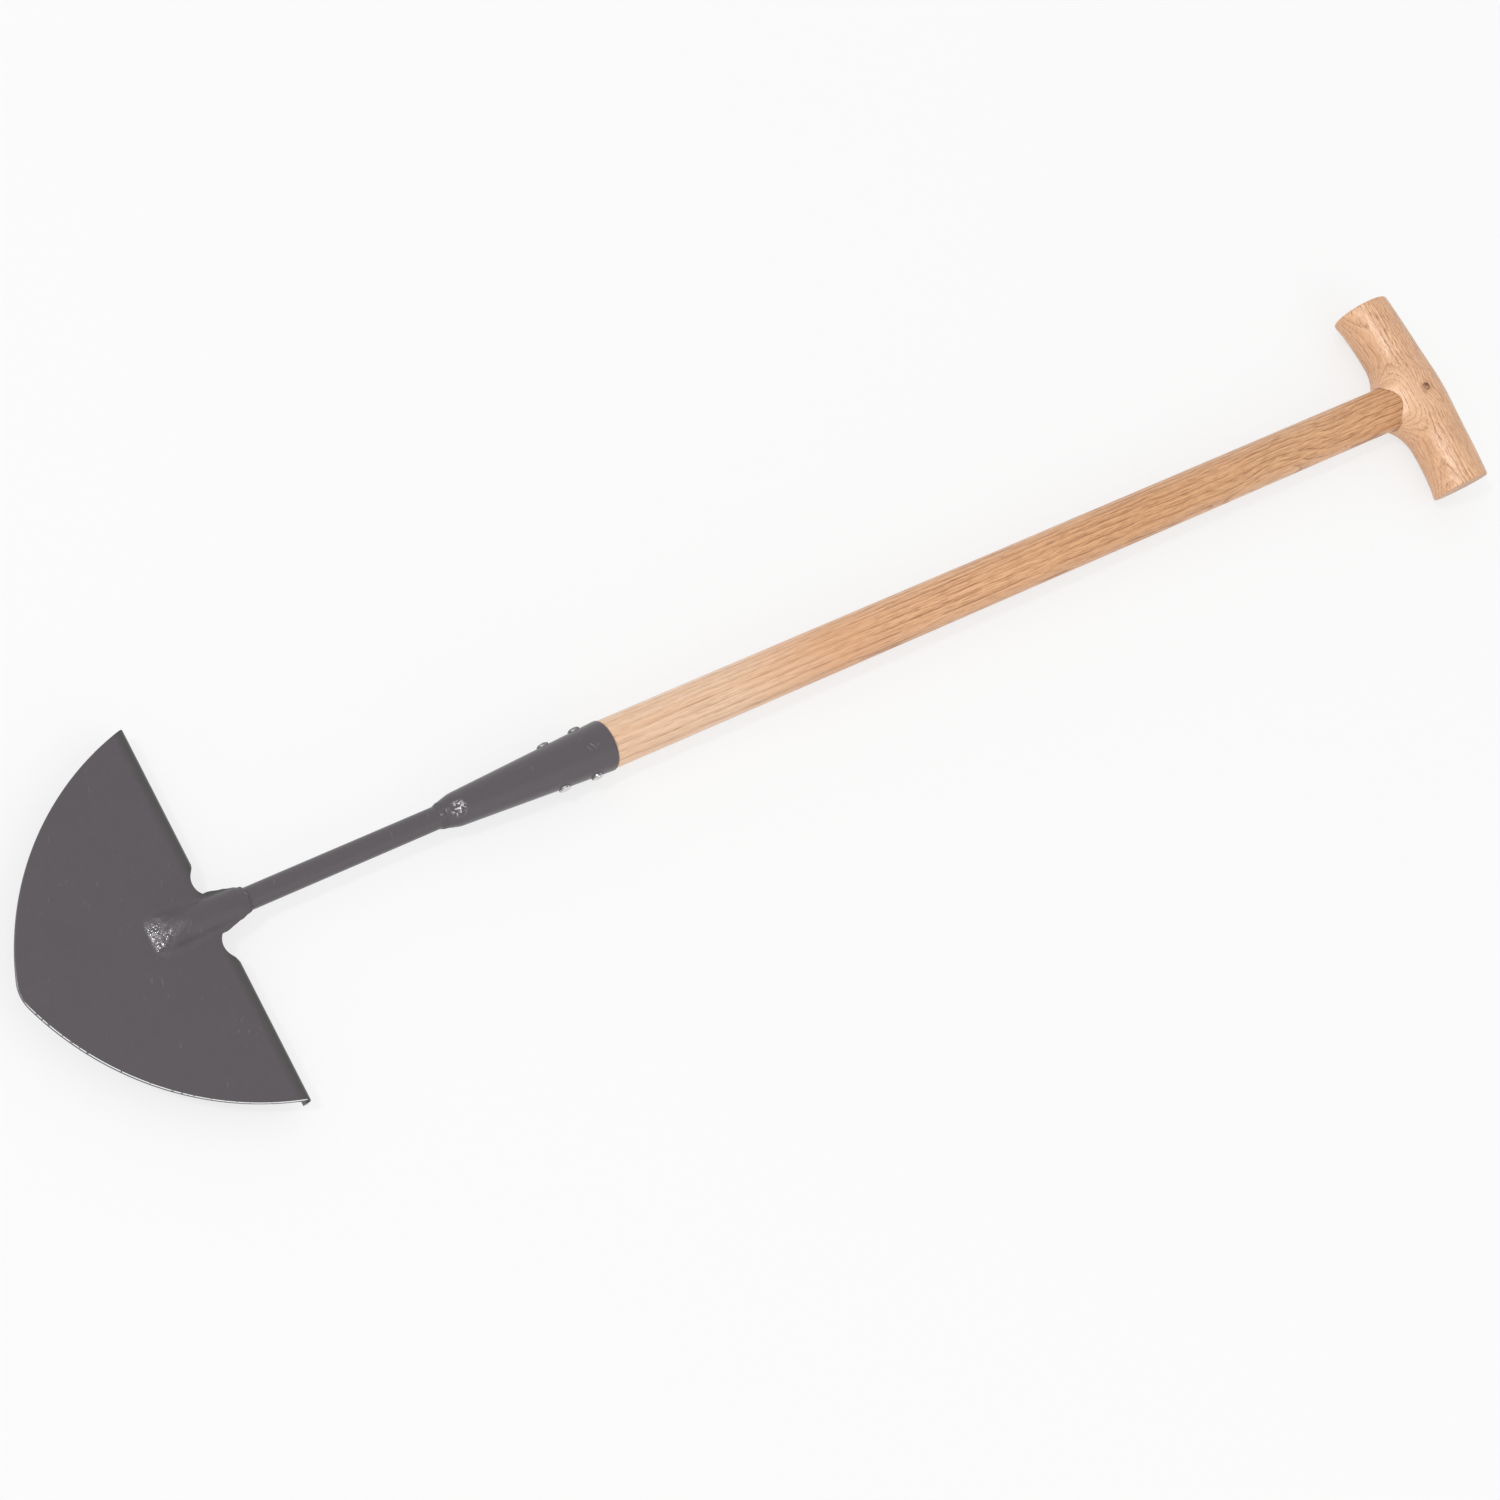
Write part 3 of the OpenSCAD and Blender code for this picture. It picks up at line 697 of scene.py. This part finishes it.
def press_blade(steel):
    """The half moon sheet: plate and boss, folded treads, notches and neck, with its thickness and eased rims."""
    form = BladeForm(steel)
    bm = bmesh.new()
    neck_ys = [steel.neck_root * i / 16 for i in range(-16, 17)]
    notch_ys = spaced(steel.neck_root, steel.tread_in, 14)
    tread_ys = spaced(steel.tread_in, form.edge_y, 46)
    outer_ys = tread_ys + spaced(form.edge_y, HALF_BLADE, 6)[1:]
    right = notch_ys[1:] + tread_ys[1:]
    ys = [-y for y in reversed(right)] + neck_ys + right
    xs = spaced(form.cutting_edge(0.0), form.fine, 30)[:-1] + spaced(form.fine, form.base, 44)

    def plate(i, j):
        edge = Vector((form.cutting_edge(ys[i]), ys[i]))
        way = form.inward(edge)
        strip = max(0.0, min(form.strip, 0.4 * (form.base - edge.x) / max(way.x, 0.05)))
        if j == 0:
            x, y = edge
        elif j == len(xs) + 1:
            x, y = form.base, ys[i]
        elif j == 1 or form.inside(xs[j - 2], ys[i]) < 1.5 * strip:
            x, y = edge + way * strip
        else:
            x, y = xs[j - 2], ys[i]
        x = min(x, form.base)
        return at(x, y, form.rise(x, y))

    patch(bm, len(ys) - 1, len(xs) + 1, plate)
    bends, neck_rows, flange = 16, 22, 5
    root_run = form.run_of(form.notch_x(steel.neck_root))

    def neck(i, j):
        y = neck_ys[i]
        if j <= bends:
            x = form.sheet_x(form.base + (root_run - form.base) * j / bends)[0]
        else:
            root = form.sheet_x(root_run)[0]
            side = abs(y) / steel.neck_root
            ragged = lumpy(Vector((y, 3.1 * MM, 0)), 420.0, 0.9 * MM) - side ** 5 * 2.6 * MM
            x = root + (steel.neck_l + ragged - root) * (j - bends) / neck_rows
        narrow = clamped(x / steel.neck_l)
        y *= 1 - narrow * (1 - steel.neck_tip / steel.neck_root)
        y *= 1 + lumpy(Vector((x, math.copysign(1.0, y), 0)), 330.0, 0.05) * min(1.0, narrow * 4)
        return at(x, y, form.rise(x, y))

    patch(bm, len(neck_ys) - 1, bends + neck_rows, neck)
    for side in (-1, 1):
        def notch(i, j):
            y = notch_ys[i]
            run = form.base + (form.run_of(form.notch_x(y)) - form.base) * j / bends
            x, drop = form.sheet_x(run)
            fold = eased_step(y, steel.neck_root, steel.neck_root + form.fold_in)
            return at(x - form.corner(y) * j / bends, side * y, form.rise(x, y) - drop * fold)

        def tread(i, j):
            y = outer_ys[i]
            start = form.run_of(max(form.base, min(0.0, form.cutting_edge(y))))
            run = start + (form.fold_end - start) * min(j, bends) / bends
            x, drop = form.sheet_x(run)
            down = (steel.tread - steel.fold) * max(0, j - bends) / flange
            return at(x - form.corner(y) * min(j, bends) / bends, side * y, form.front - drop - down)

        patch(bm, len(notch_ys) - 1, bends, notch)
        patch(bm, len(outer_ys) - 1, bends + flange, tread)
    closed(bm)
    if sum(face.normal.z * face.calc_area() for face in bm.faces) < 0:
        bmesh.ops.reverse_faces(bm, faces=bm.faces)
    bmesh.ops.solidify(bm, geom=bm.faces[:], thickness=steel.sheet)
    rims = [edge for edge in bm.edges if edge.is_manifold and edge.calc_face_angle() > math.radians(55)
            and max(abs(vert.co.y) for vert in edge.verts) < form.edge_y - 2.5 * MM]
    bmesh.ops.bevel(bm, geom=rims, offset=steel.rim, offset_type="OFFSET", segments=2, profile=0.5, affect="EDGES",
                    clamp_overlap=False, material=-1)
    bmesh.ops.recalc_face_normals(bm, faces=bm.faces)
    return bm


def turn_shank(steel):
    """The round shank with its rounded ends."""
    low, high = extent("shank")
    points = [(low, 0.0), (low, steel.shank_r), (high, steel.shank_r), (high, 0.0)]
    points = eased(eased(points, 2, 3 * MM), 1, 3 * MM)
    return lathe(along_x(points, 40), 72)


def socket_radius(steel, x):
    """Radius of the socket's cone at a station."""
    start, mouth = extent("socket")
    cone = start + steel.shoulder_l
    return steel.shoulder_r + (steel.mouth_r - steel.shoulder_r) * (x - cone) / (mouth - cone)


def turn_socket(steel):
    """The tapered socket, swaged down at its small end and knocked about where it was welded."""
    start, mouth = extent("socket")
    seat, cone = start + steel.seat, start + steel.shoulder_l
    inner = steel.shank_r + FIT
    points = [(start, inner), (start, steel.small_r), (cone, steel.shoulder_r), (mouth, steel.mouth_r),
              (mouth, steel.mouth_r - steel.wall), (seat, socket_radius(steel, seat) - steel.wall), (seat, inner),
              (start, inner)]
    for corner, radius, steps in ((4, 0.35 * MM, 3), (3, 0.5 * MM, 4), (2, 2.2 * MM, 5), (1, 0.6 * MM, 3)):
        points = eased(points, corner, radius, steps)
    bm = lathe(along_x(points, 48), 112)
    struck, blow = at(start + 6 * MM, -0.5 * MM, steel.shoulder_r), 6.5 * MM
    for vert in bm.verts:
        out = off_axis(vert.co)
        if out.length > steel.shank_r + 0.5 * MM:
            hit = math.exp(-((vert.co - struck).length / blow) ** 4)
            vert.co += out.normalized() * ((lumpy(vert.co, 330.0, 0.5 * MM) - 0.15 * MM) * hit)
    return bm


def rivet_centres(steel):
    low, high = SPAN["socket_rivets"]
    return low.x + steel.head_r, high.x - steel.head_r


def set_rivets(steel):
    """Two rivets across the socket, their heads hammered down."""
    bm = bmesh.new()
    for x in rivet_centres(steel):
        wall = socket_radius(steel, x - TREAD_X)
        side = [(steel.head_r * r, wall + steel.head_h * (1 - h)) for r, h in HEAD_LINE]
        side += [(steel.head_r * 0.96, wall - 0.35 * MM), (steel.rivet_r, wall - 0.6 * MM)]
        line = side + [(r, -h) for r, h in reversed(side)]
        turned(bm, [Vector((x + r, h, AXIS_Z)) for r, h in line], (x, 0, AXIS_Z), (0, 1, 0), 40)
    closed(bm)
    for vert in bm.verts:
        if abs(vert.co.y) > 12 * MM:
            beside = vert.co + Vector((1, 0, 0))
            vert.co += Vector((lumpy(vert.co, 420.0, 0.22 * MM), 0, lumpy(beside, 420.0, 0.22 * MM)))
            vert.co.y -= math.copysign(abs(lumpy(vert.co, 380.0, 0.30 * MM)), vert.co.y)
    return bm


def turn_handle(wood, steel):
    """The handle with its tapered seat and its tenon, its skin worn a little uneven."""
    low, high = extent("handle")
    mouth = extent("socket")[1]
    let_in = GRIP_X - wood.hub_in - TREAD_X + wood.let_in - FIT
    points = [(low, 0.0), (low, socket_radius(steel, low) - steel.wall - FIT),
              (mouth, steel.mouth_r - steel.wall - FIT), (mouth + 0.8 * MM, wood.handle_r), (let_in, wood.handle_r),
              (let_in, wood.tenon_r), (high - MM, wood.tenon_r), (high, wood.tenon_r - MM), (high, 0.0)]
    bm = lathe(along_x(points, 90), 112)
    for vert in bm.verts:
        out = off_axis(vert.co)
        if out.length > wood.handle_r - 0.2 * MM:
            worn = lumpy(Vector((vert.co.x * 9, out.y * 40, out.z * 40)), 1.0, 0.10 * MM)
            vert.co -= out.normalized() * abs(worn)
    return bm


class GripForm:
    """Where the grip's skin lies."""

    def __init__(self, wood):
        self.w = wood
        self.half_l = SPAN["grip"][1].y
        self.back_r = (self.half_l ** 2 + wood.back_bow ** 2) / (2 * wood.back_bow)
        flare = wood.end_in - wood.waist_in
        self.flare_r = ((self.half_l - wood.waist_at) ** 2 + flare * flare) / (2 * flare)

    def reach_in(self, y):
        w, a = self.w, abs(y)
        if a > w.waist_at:
            return w.waist_in + self.flare_r - math.sqrt(self.flare_r ** 2 - (a - w.waist_at) ** 2)
        hollow = w.waist_in + w.hollow_r - math.sqrt(w.hollow_r ** 2 - min(w.waist_at - a, w.hollow_r) ** 2)
        blend = 0.8 / MM
        return -math.log(math.exp(-blend * hollow) + math.exp(-blend * w.hub_in)) / blend

    def reach_out(self, y):
        return self.w.end_out + self.w.back_bow - self.back_r + math.sqrt(self.back_r ** 2 - y * y)

    def half_t(self, y):
        w = self.w
        if abs(y) >= w.waist_at:
            return w.half_t
        return w.half_t + w.swell * (1 + math.cos(math.pi * y / w.waist_at)) / 2

    def point(self, y, angle, inset, shrink=1.0):
        c, s = math.cos(angle), math.sin(angle)
        reach = self.reach_out(y) if c > 0 else self.reach_in(y)
        return Vector((GRIP_X + c * (reach - inset) * shrink, y, AXIS_Z + s * (self.half_t(y) - inset) * shrink))


def carve_grip(wood):
    """The T-grip's skin from end to end, with rounded ends."""
    form = GripForm(wood)
    r, inner = wood.end_round, form.half_l - wood.end_round
    stations = [(inner * i / 44, 0.0, 1.0) for i in range(-44, 45)]
    caps = [(inner + r * math.sin(math.radians(a)), r * (1 - math.cos(math.radians(a))), 1.0)
            for a in (15, 30, 45, 60, 75, 90)] + [(form.half_l, r, k) for k in (0.75, 0.4, 0.0)]
    stations = [(-y, inset, k) for y, inset, k in reversed(caps)] + stations + caps
    sides = 96
    bm = bmesh.new()

    def skin(i, j):
        y, inset, shrink = stations[j]
        point = form.point(y, math.tau * i / sides, inset, shrink)
        slant = (AXIS_Z + wood.half_t - point.z) * wood.end_slant * eased_step(abs(y), form.half_l - 9 * MM, inner)
        point.y -= math.copysign(slant, y)
        return point

    patch(bm, sides, len(stations) - 1, skin)
    closed(bm)
    return bm


def bored(piece, cutter_bm):
    """Cuts a hole in a piece with a closed mesh."""
    cutter = meshed("borer", cutter_bm)
    cut = piece.modifiers.new("bore", "BOOLEAN")
    cut.operation, cut.solver, cut.object = "DIFFERENCE", "EXACT", cutter
    whole = bpy.data.meshes.new_from_object(piece.evaluated_get(bpy.context.evaluated_depsgraph_get()))
    piece.modifiers.remove(cut)
    bpy.data.objects.remove(cutter)
    old, piece.data = piece.data, whole
    name = old.name
    bpy.data.meshes.remove(old)
    whole.name = name


# Operators
class EDGER_OT_blade(bpy.types.Operator):
    """Press the half moon blade and paint it."""
    bl_idname = "edger.blade"
    bl_label = "Blade"

    def execute(self, context):
        steel, look = context.scene.edger_steel, context.scene.edger_finish
        form = BladeForm(steel)

        def edge(f, x, y, z):
            """Where the cutting edge is worn bright on top, its bright line also a painted highlight, and where
            painted shade darkens its underside.
            """
            side = y.math("ABSOLUTE") - form.arc_c.y
            ahead = x - (TREAD_X + form.arc_c.x)
            inside = form.arc_r - (side * side + ahead * ahead).math("SQRT")
            top = f.smooth(z, AXIS_Z + 0.7 * MM, AXIS_Z + 0.95 * MM)
            bright = f.smooth(inside, 0.45 * MM, 0.28 * MM) * f.smooth(y, 20 * MM, -20 * MM) * top
            return bright, f.smooth(inside, 0.3 * MM, 0.1 * MM) * (1 - top)

        def painted_shade_and_dark_paint(f, x, y):
            """Painted shade on the folds and along one flank of the boss, and darker paint at the neck's root."""
            run = x - TREAD_X
            # Painted shade on the folds along the treads.
            fold = f.smooth(run, -9 * MM, -2 * MM) * f.smooth(y.math("ABSOLUTE"), 14 * MM, 24 * MM)
            # Painted shade along the boss's lower flank.
            flank = f.band(y, -6.6 * MM, -8 * MM, -8.7 * MM, -10.2 * MM)
            flank = flank * f.band(run, -33 * MM, -27 * MM, -6 * MM, 4 * MM)
            root = f.band(y, 6.5 * MM, 8.5 * MM, 12 * MM, 14 * MM) * f.smooth(run, -10 * MM, -1 * MM)
            return (fold * 0.95).math("MAXIMUM", flank * 0.45).math("MAXIMUM", root * 0.9)

        marks = [(at(-16 * MM, -62 * MM, 0), 3 * MM, 12 * MM, 0.5),
                 (at(-72 * MM, 38 * MM, 0), 4 * MM, 25 * MM, 0.25)]
        thick = [(at(-36.5 * MM, 3 * MM, 3 * MM), 2.5 * MM, 5 * MM),
                 (at(-30 * MM, -2 * MM, 5 * MM), 1.8 * MM, 3.8 * MM),
                 (at(-35.5 * MM, -6.5 * MM, 3 * MM), 2.2 * MM, 4.6 * MM)]
        # The blade's paint level of 0.93 is painted shade: the flat plate is made darker than the round parts of the
        # same paint.
        paint = paint_finish(look, "blade_paint", marks, edge=edge, thick=thick, painted_shade_and_dark_paint=painted_shade_and_dark_paint, level=0.93)
        finished("edger_blade", press_blade(steel), paint, "blade")
        return {"FINISHED"}


class EDGER_OT_shank(bpy.types.Operator):
    """Turn the round shank and paint it."""
    bl_idname = "edger.shank"
    bl_label = "Shank"

    def execute(self, context):
        paint = paint_finish(context.scene.edger_finish, "shank_paint", peel=0.8)
        finished("edger_shank", turn_shank(context.scene.edger_steel), paint, "shank")
        return {"FINISHED"}


class EDGER_OT_welds(bpy.types.Operator):
    """Lay the weld beads at the neck, along the blade's back and at the socket's small end."""
    bl_idname = "edger.welds"
    bl_label = "Welds"

    def execute(self, context):
        steel = context.scene.edger_steel
        paint = paint_finish(context.scene.edger_finish, "weld_paint", peel=1.6, burnt=0.7)
        neck_x, socket_x = extent("neck_weld")[0], extent("socket")[0]
        low, high = SPAN["back_welds"]

        def rippled(size, ripples, tail):
            """Radius of a bead with ripples, run out over a share of its length at each end."""
            def radius(t):
                end = math.sqrt(clamped(min(t, 1 - t) / tail))
                wave = math.sin(ripples * math.tau * t)
                return size * end * (1 + 0.10 * wave + lumpy(Vector((t * 3, size, 0)), 5.0, 0.6))

            return radius

        def round_neck(t):
            angle = math.radians(-108 + 216 * t)
            out = Vector((0, math.sin(angle), math.cos(angle)))
            drift = lumpy(out * 0.01, 300.0, 1.5 * MM)
            return at(neck_x - 0.4 * MM + drift, 0, 0) + out * (steel.shank_r - 0.1 * MM), out, Vector((1, 0, 0))

        def beside_shank(side):
            def path(t):
                x = low.x + (high.x - low.x) * t
                middle = Vector((x, side * (steel.shank_r + 0.7 * MM), AXIS_Z - steel.sheet / 2 - 0.6 * MM))
                return middle, Vector((0, 0, 1)), Vector((0, 1, 0))

            return path

        bm = bmesh.new()
        bead(bm, round_neck, rippled(1.25 * MM, 5, 0.10), 120)
        closed(bm)
        finished("edger_neck_weld", bm, paint, "neck_weld")
        bm = lathe([at(socket_x + x * MM, 0, steel.shank_r + r * MM) for x, r in WELD_LINE], 96)
        for vert in bm.verts:
            out = off_axis(vert.co)
            if out.length > steel.shank_r + 0.1 * MM:
                vert.co += out.normalized() * lumpy(vert.co, 380.0, 0.35 * MM)
                vert.co.x += lumpy(out * 1.7, 260.0, 0.9 * MM)
        finished("edger_socket_weld", bm, paint, "socket_weld")
        bm = bmesh.new()
        for side in (-1, 1):
            bead(bm, beside_shank(side), rippled(2.4 * MM, 6, 0.07), 60)
        closed(bm)
        finished("edger_back_welds", bm, paint, "back_welds")
        return {"FINISHED"}


class EDGER_OT_socket(bpy.types.Operator):
    """Turn the tapered socket and paint it."""
    bl_idname = "edger.socket"
    bl_label = "Socket"

    def execute(self, context):
        start, mouth = extent("socket")
        marks = [(at(mouth - 12 * MM, 4 * MM, 13 * MM), 3 * MM, 9 * MM, 0.7)]
        nick = (at(start + 7 * MM, -1.5 * MM, 9 * MM), 2.6 * MM, 5.6 * MM)
        paint = paint_finish(context.scene.edger_finish, "socket_paint", marks, nick, peel=0.8)
        finished("edger_socket", turn_socket(context.scene.edger_steel), paint, "socket")
        return {"FINISHED"}


class EDGER_OT_rivets(bpy.types.Operator):
    """Set the two rivets across the socket."""
    bl_idname = "edger.rivets"
    bl_label = "Rivets"

    def execute(self, context):
        steel = context.scene.edger_steel
        bright = steel_finish(context.scene.edger_finish, "rivet_steel", rivet_centres(steel))
        finished("edger_rivets", set_rivets(steel), bright, "socket_rivets")
        return {"FINISHED"}


class EDGER_OT_handle(bpy.types.Operator):
    """Turn the ash handle and lacquer it."""
    bl_idname = "edger.handle"
    bl_label = "Handle"

    def execute(self, context):
        wood, look = context.scene.edger_wood, context.scene.edger_finish
        mouth, hub = SPAN["socket"][1].x, GRIP_X - wood.hub_in

        def tones(f, x):
            stops = [(0.0, look.ash_pale), (0.13, look.ash_pale), (0.26, look.ash_fair), (0.35, look.ash_straw),
                     (0.65, look.ash_warm), (0.85, look.ash_sand), (1.0, look.ash_end)]
            return f.node("ValToRGB", {"stops": stops}, {0: (x - mouth) / (hub - mouth)})

        def fade(f, p, x):
            """How plainly the grain shows along the handle."""
            part = (x - mouth) / (hub - mouth)
            return 0.62 + f.smooth(part, 0.24, 0.36) * 0.58 + f.smooth(part, 0.5, 0.7) * 0.06

        def spots(f, p, x, y, z):
            """A dark fleck, and a darker end at the grip."""
            fleck = f.near(p, at(787 * MM, -12.6 * MM, 6 * MM), 0.5 * MM, 1.5 * MM)
            return fleck + f.smooth(x, hub - 8 * MM, hub + 4 * MM) * 0.14

        ash = ash_finish(look, "handle_ash", "X", (70 * MM, AXIS_Z - 12 * MM), wood.ring_gap, (2.0, 0.3), tones, fade,
                         spots, strength=1.4, stretch=2.4, wild=(hub - 300 * MM, hub - 60 * MM))
        finished("edger_handle", turn_handle(wood, context.scene.edger_steel), ash, "handle", 30.0)
        return {"FINISHED"}


class EDGER_OT_grip(bpy.types.Operator):
    """Carve the T-grip, bore it for the handle and the peg, and lacquer it."""
    bl_idname = "edger.grip"
    bl_label = "Grip"

    def execute(self, context):
        wood, look = context.scene.edger_wood, context.scene.edger_finish
        low, high = SPAN["grip_peg"]
        end_y = SPAN["grip"][1].y

        def tones(f, x):
            return f.mix(f.smooth(x, GRIP_X - 6 * MM, GRIP_X + 20 * MM) * 0.45, look.grip_pale, look.grip_warm)

        def fade(f, p, x):
            """How plainly the grain shows across the grip, least on the hub's front."""
            hub = f.near(p, (GRIP_X - 12 * MM, 0.0, AXIS_Z + 15 * MM), 8 * MM, 24 * MM)
            return (f.smooth(x, GRIP_X - 20 * MM, GRIP_X - 2 * MM) * 0.45 + 0.75) * (1 - hub * 0.5)

        def spots(f, p, x, y, z):
            """The dark joint round the handle, the end faces, darker as end grain with painted shade on top, and a
            dark spot on the outer side.
            """
            up = z - AXIS_Z
            away = (y * y + up * up).math("SQRT") - f.smooth(y, -6 * MM, -10 * MM) * (0.6 * MM)
            joint = f.smooth(away, wood.handle_r + 0.6 * MM, wood.handle_r + 0.1 * MM)
            joint = joint * f.smooth(x, GRIP_X - 12 * MM, GRIP_X - 14 * MM)
            lean = (AXIS_Z + wood.half_t - z) * wood.end_slant
            # The end faces are darkened as end grain, with painted shade on top.
            ends = f.smooth(y.math("ABSOLUTE") + lean, end_y - 0.5 * MM, end_y - 0.1 * MM)
            # A dark spot on the grip's outer side near one end.
            dark_spot = f.near(p, (GRIP_X + 17 * MM, 34 * MM, AXIS_Z + 8 * MM), 1 * MM, 7 * MM)
            return joint * 0.9 + ends * 0.55 + dark_spot * 0.5

        ash = ash_finish(look, "grip_ash", "Y", (GRIP_X - 40 * MM, AXIS_Z + 30 * MM), wood.grip_gap, (3.2, 1.5), tones,
                         fade, spots, relief=3.0, knot=(GRIP_X, 0.0, high.z))
        piece = finished("edger_grip", carve_grip(wood), ash, "grip")
        hub = GRIP_X - wood.hub_in - TREAD_X
        start, step, end = hub - 9 * MM, hub + wood.let_in, extent("handle")[1]
        slack = 0.12 * MM
        wide, slim = wood.handle_r + slack, wood.tenon_r + slack
        bored(piece, lathe(along_x([(start, 0.0), (start, wide), (step, wide), (step, slim), (end, slim), (end, 0.0)]),
                           128))
        peg_r, top = high.x - GRIP_X + slack / 2, high.z + 4 * MM
        bored(piece, peg_lathe([(0, low.z), (peg_r, low.z), (peg_r, top), (0, top)]))
        smoothed(piece.data, 30.0)
        return {"FINISHED"}


class EDGER_OT_peg(bpy.types.Operator):
    """Drive the dark peg into the grip."""
    bl_idname = "edger.peg"
    bl_label = "Peg"

    def execute(self, context):
        low, high = SPAN["grip_peg"]
        r, top = high.x - GRIP_X, high.z
        bm = peg_lathe([(0, low.z), (r, low.z), (r, top - 0.12 * MM), (r * 0.95, top - 0.04 * MM), (r * 0.6, top),
                        (r * 0.3, top), (0, top)])
        for vert in bm.verts:
            if vert.co.z > top - MM:
                vert.co.z -= abs(lumpy(vert.co, 700.0, 0.25 * MM))
        finished("edger_peg", bm, peg_finish(context.scene.edger_finish, "peg_wood"), "grip_peg")
        return {"FINISHED"}


class EDGER_OT_stage(bpy.types.Operator):
    """Set the floor, the light and the camera."""
    bl_idname = "edger.stage"
    bl_label = "Stage"

    def execute(self, context):
        scene, stage = context.scene, context.scene.edger_stage
        scene.view_settings.view_transform = "Standard"
        bm = bmesh.new()
        bmesh.ops.create_grid(bm, x_segments=1, y_segments=1, size=FLOOR_HALF)
        bmesh.ops.translate(bm, verts=bm.verts, vec=(0, 0, -FLOOR_DROP))
        floor = meshed("floor", bm)
        f = Finish(bpy.data.materials.new("floor_paper"))
        tone = f.mix(f.noise(f.place(), 3.0), stage.floor, scaled(stage.floor, 0.99))
        paper = f.principled(Base_Color=tone, Roughness=0.9, Specular_IOR_Level=0.0)
        plain = f.node("Emission", values={"Color": WHITE, "Strength": 1.0})
        both = f.node("MixShader", values={0: self.seen(f) * stage.floor_white, 1: paper, 2: plain})
        f.node("OutputMaterial", values={0: both})
        floor.data.materials.append(f.owner)
        w = Finish(bpy.data.worlds.new("studio"))
        strength = self.seen(w) * (1.0 - stage.sky) + stage.sky
        w.node("OutputWorld", values={0: w.node("Background", values={"Color": WHITE, "Strength": strength})})
        scene.world = w.owner
        self.lamp("key_box", stage.key, **KEY_BOX)
        self.lamp("gloss_box", stage.gloss, **KEY_BOX).visible_diffuse = False
        self.lamp("fill_box", stage.fill, **FILL_BOX)
        data = bpy.data.cameras.new("camera")
        data.sensor_width, data.lens = SENSOR, stage.lens
        camera = linked("camera", data)
        camera.location, camera.rotation_euler = stage.place, stage.turn
        scene.camera = camera
        return {"FINISHED"}

    def seen(self, f):
        """1 for rays that show the background: from the camera, in gloss and through glass."""
        rays = [f.node("LightPath", out=name) for name in ("Is Camera Ray", "Is Glossy Ray", "Is Transmission Ray")]
        return rays[0].math("MAXIMUM", rays[1].math("MAXIMUM", rays[2]))

    def lamp(self, name, power, size, place, target):
        data = bpy.data.lights.new(name, "AREA")
        data.energy, data.size = power, size
        lamp = linked(name, data)
        lamp.location = place
        lamp.rotation_euler = (Vector(target) - Vector(place)).to_track_quat("-Z", "Y").to_euler()
        return lamp


OPERATORS = (EDGER_OT_blade, EDGER_OT_shank, EDGER_OT_welds, EDGER_OT_socket, EDGER_OT_rivets, EDGER_OT_handle,
             EDGER_OT_grip, EDGER_OT_peg, EDGER_OT_stage)
GROUPS = {"edger_steel": EdgerSteel, "edger_wood": EdgerWood, "edger_finish": EdgerFinish, "edger_stage": EdgerStage}


class EDGER_PT_panel(bpy.types.Panel):
    """Sizes, finishes and operators of the edger."""
    bl_idname = "EDGER_PT_panel"
    bl_label = "Half Moon Edger"
    bl_space_type = "VIEW_3D"
    bl_region_type = "UI"
    bl_category = "Edger"

    def draw(self, context):
        for operator in OPERATORS:
            self.layout.operator(operator.bl_idname)
        for name, group in GROUPS.items():
            box = self.layout.box()
            box.label(text=group.__doc__)
            for key in group.__annotations__:
                box.prop(getattr(context.scene, name), key)


CLASSES = (*GROUPS.values(), *OPERATORS, EDGER_PT_panel)


def register():
    for each in CLASSES:
        bpy.utils.register_class(each)
    for name, group in GROUPS.items():
        setattr(bpy.types.Scene, name, PointerProperty(type=group))


def unregister():
    for name in GROUPS:
        delattr(bpy.types.Scene, name)
    for each in reversed(CLASSES):
        bpy.utils.unregister_class(each)


def main():
    register()
    bpy.ops.edger.stage()
    bpy.ops.edger.blade()
    bpy.ops.edger.shank()
    bpy.ops.edger.welds()
    bpy.ops.edger.socket()
    bpy.ops.edger.rivets()
    bpy.ops.edger.handle()
    bpy.ops.edger.grip()
    bpy.ops.edger.peg()


if __name__ == "__main__":
    main()
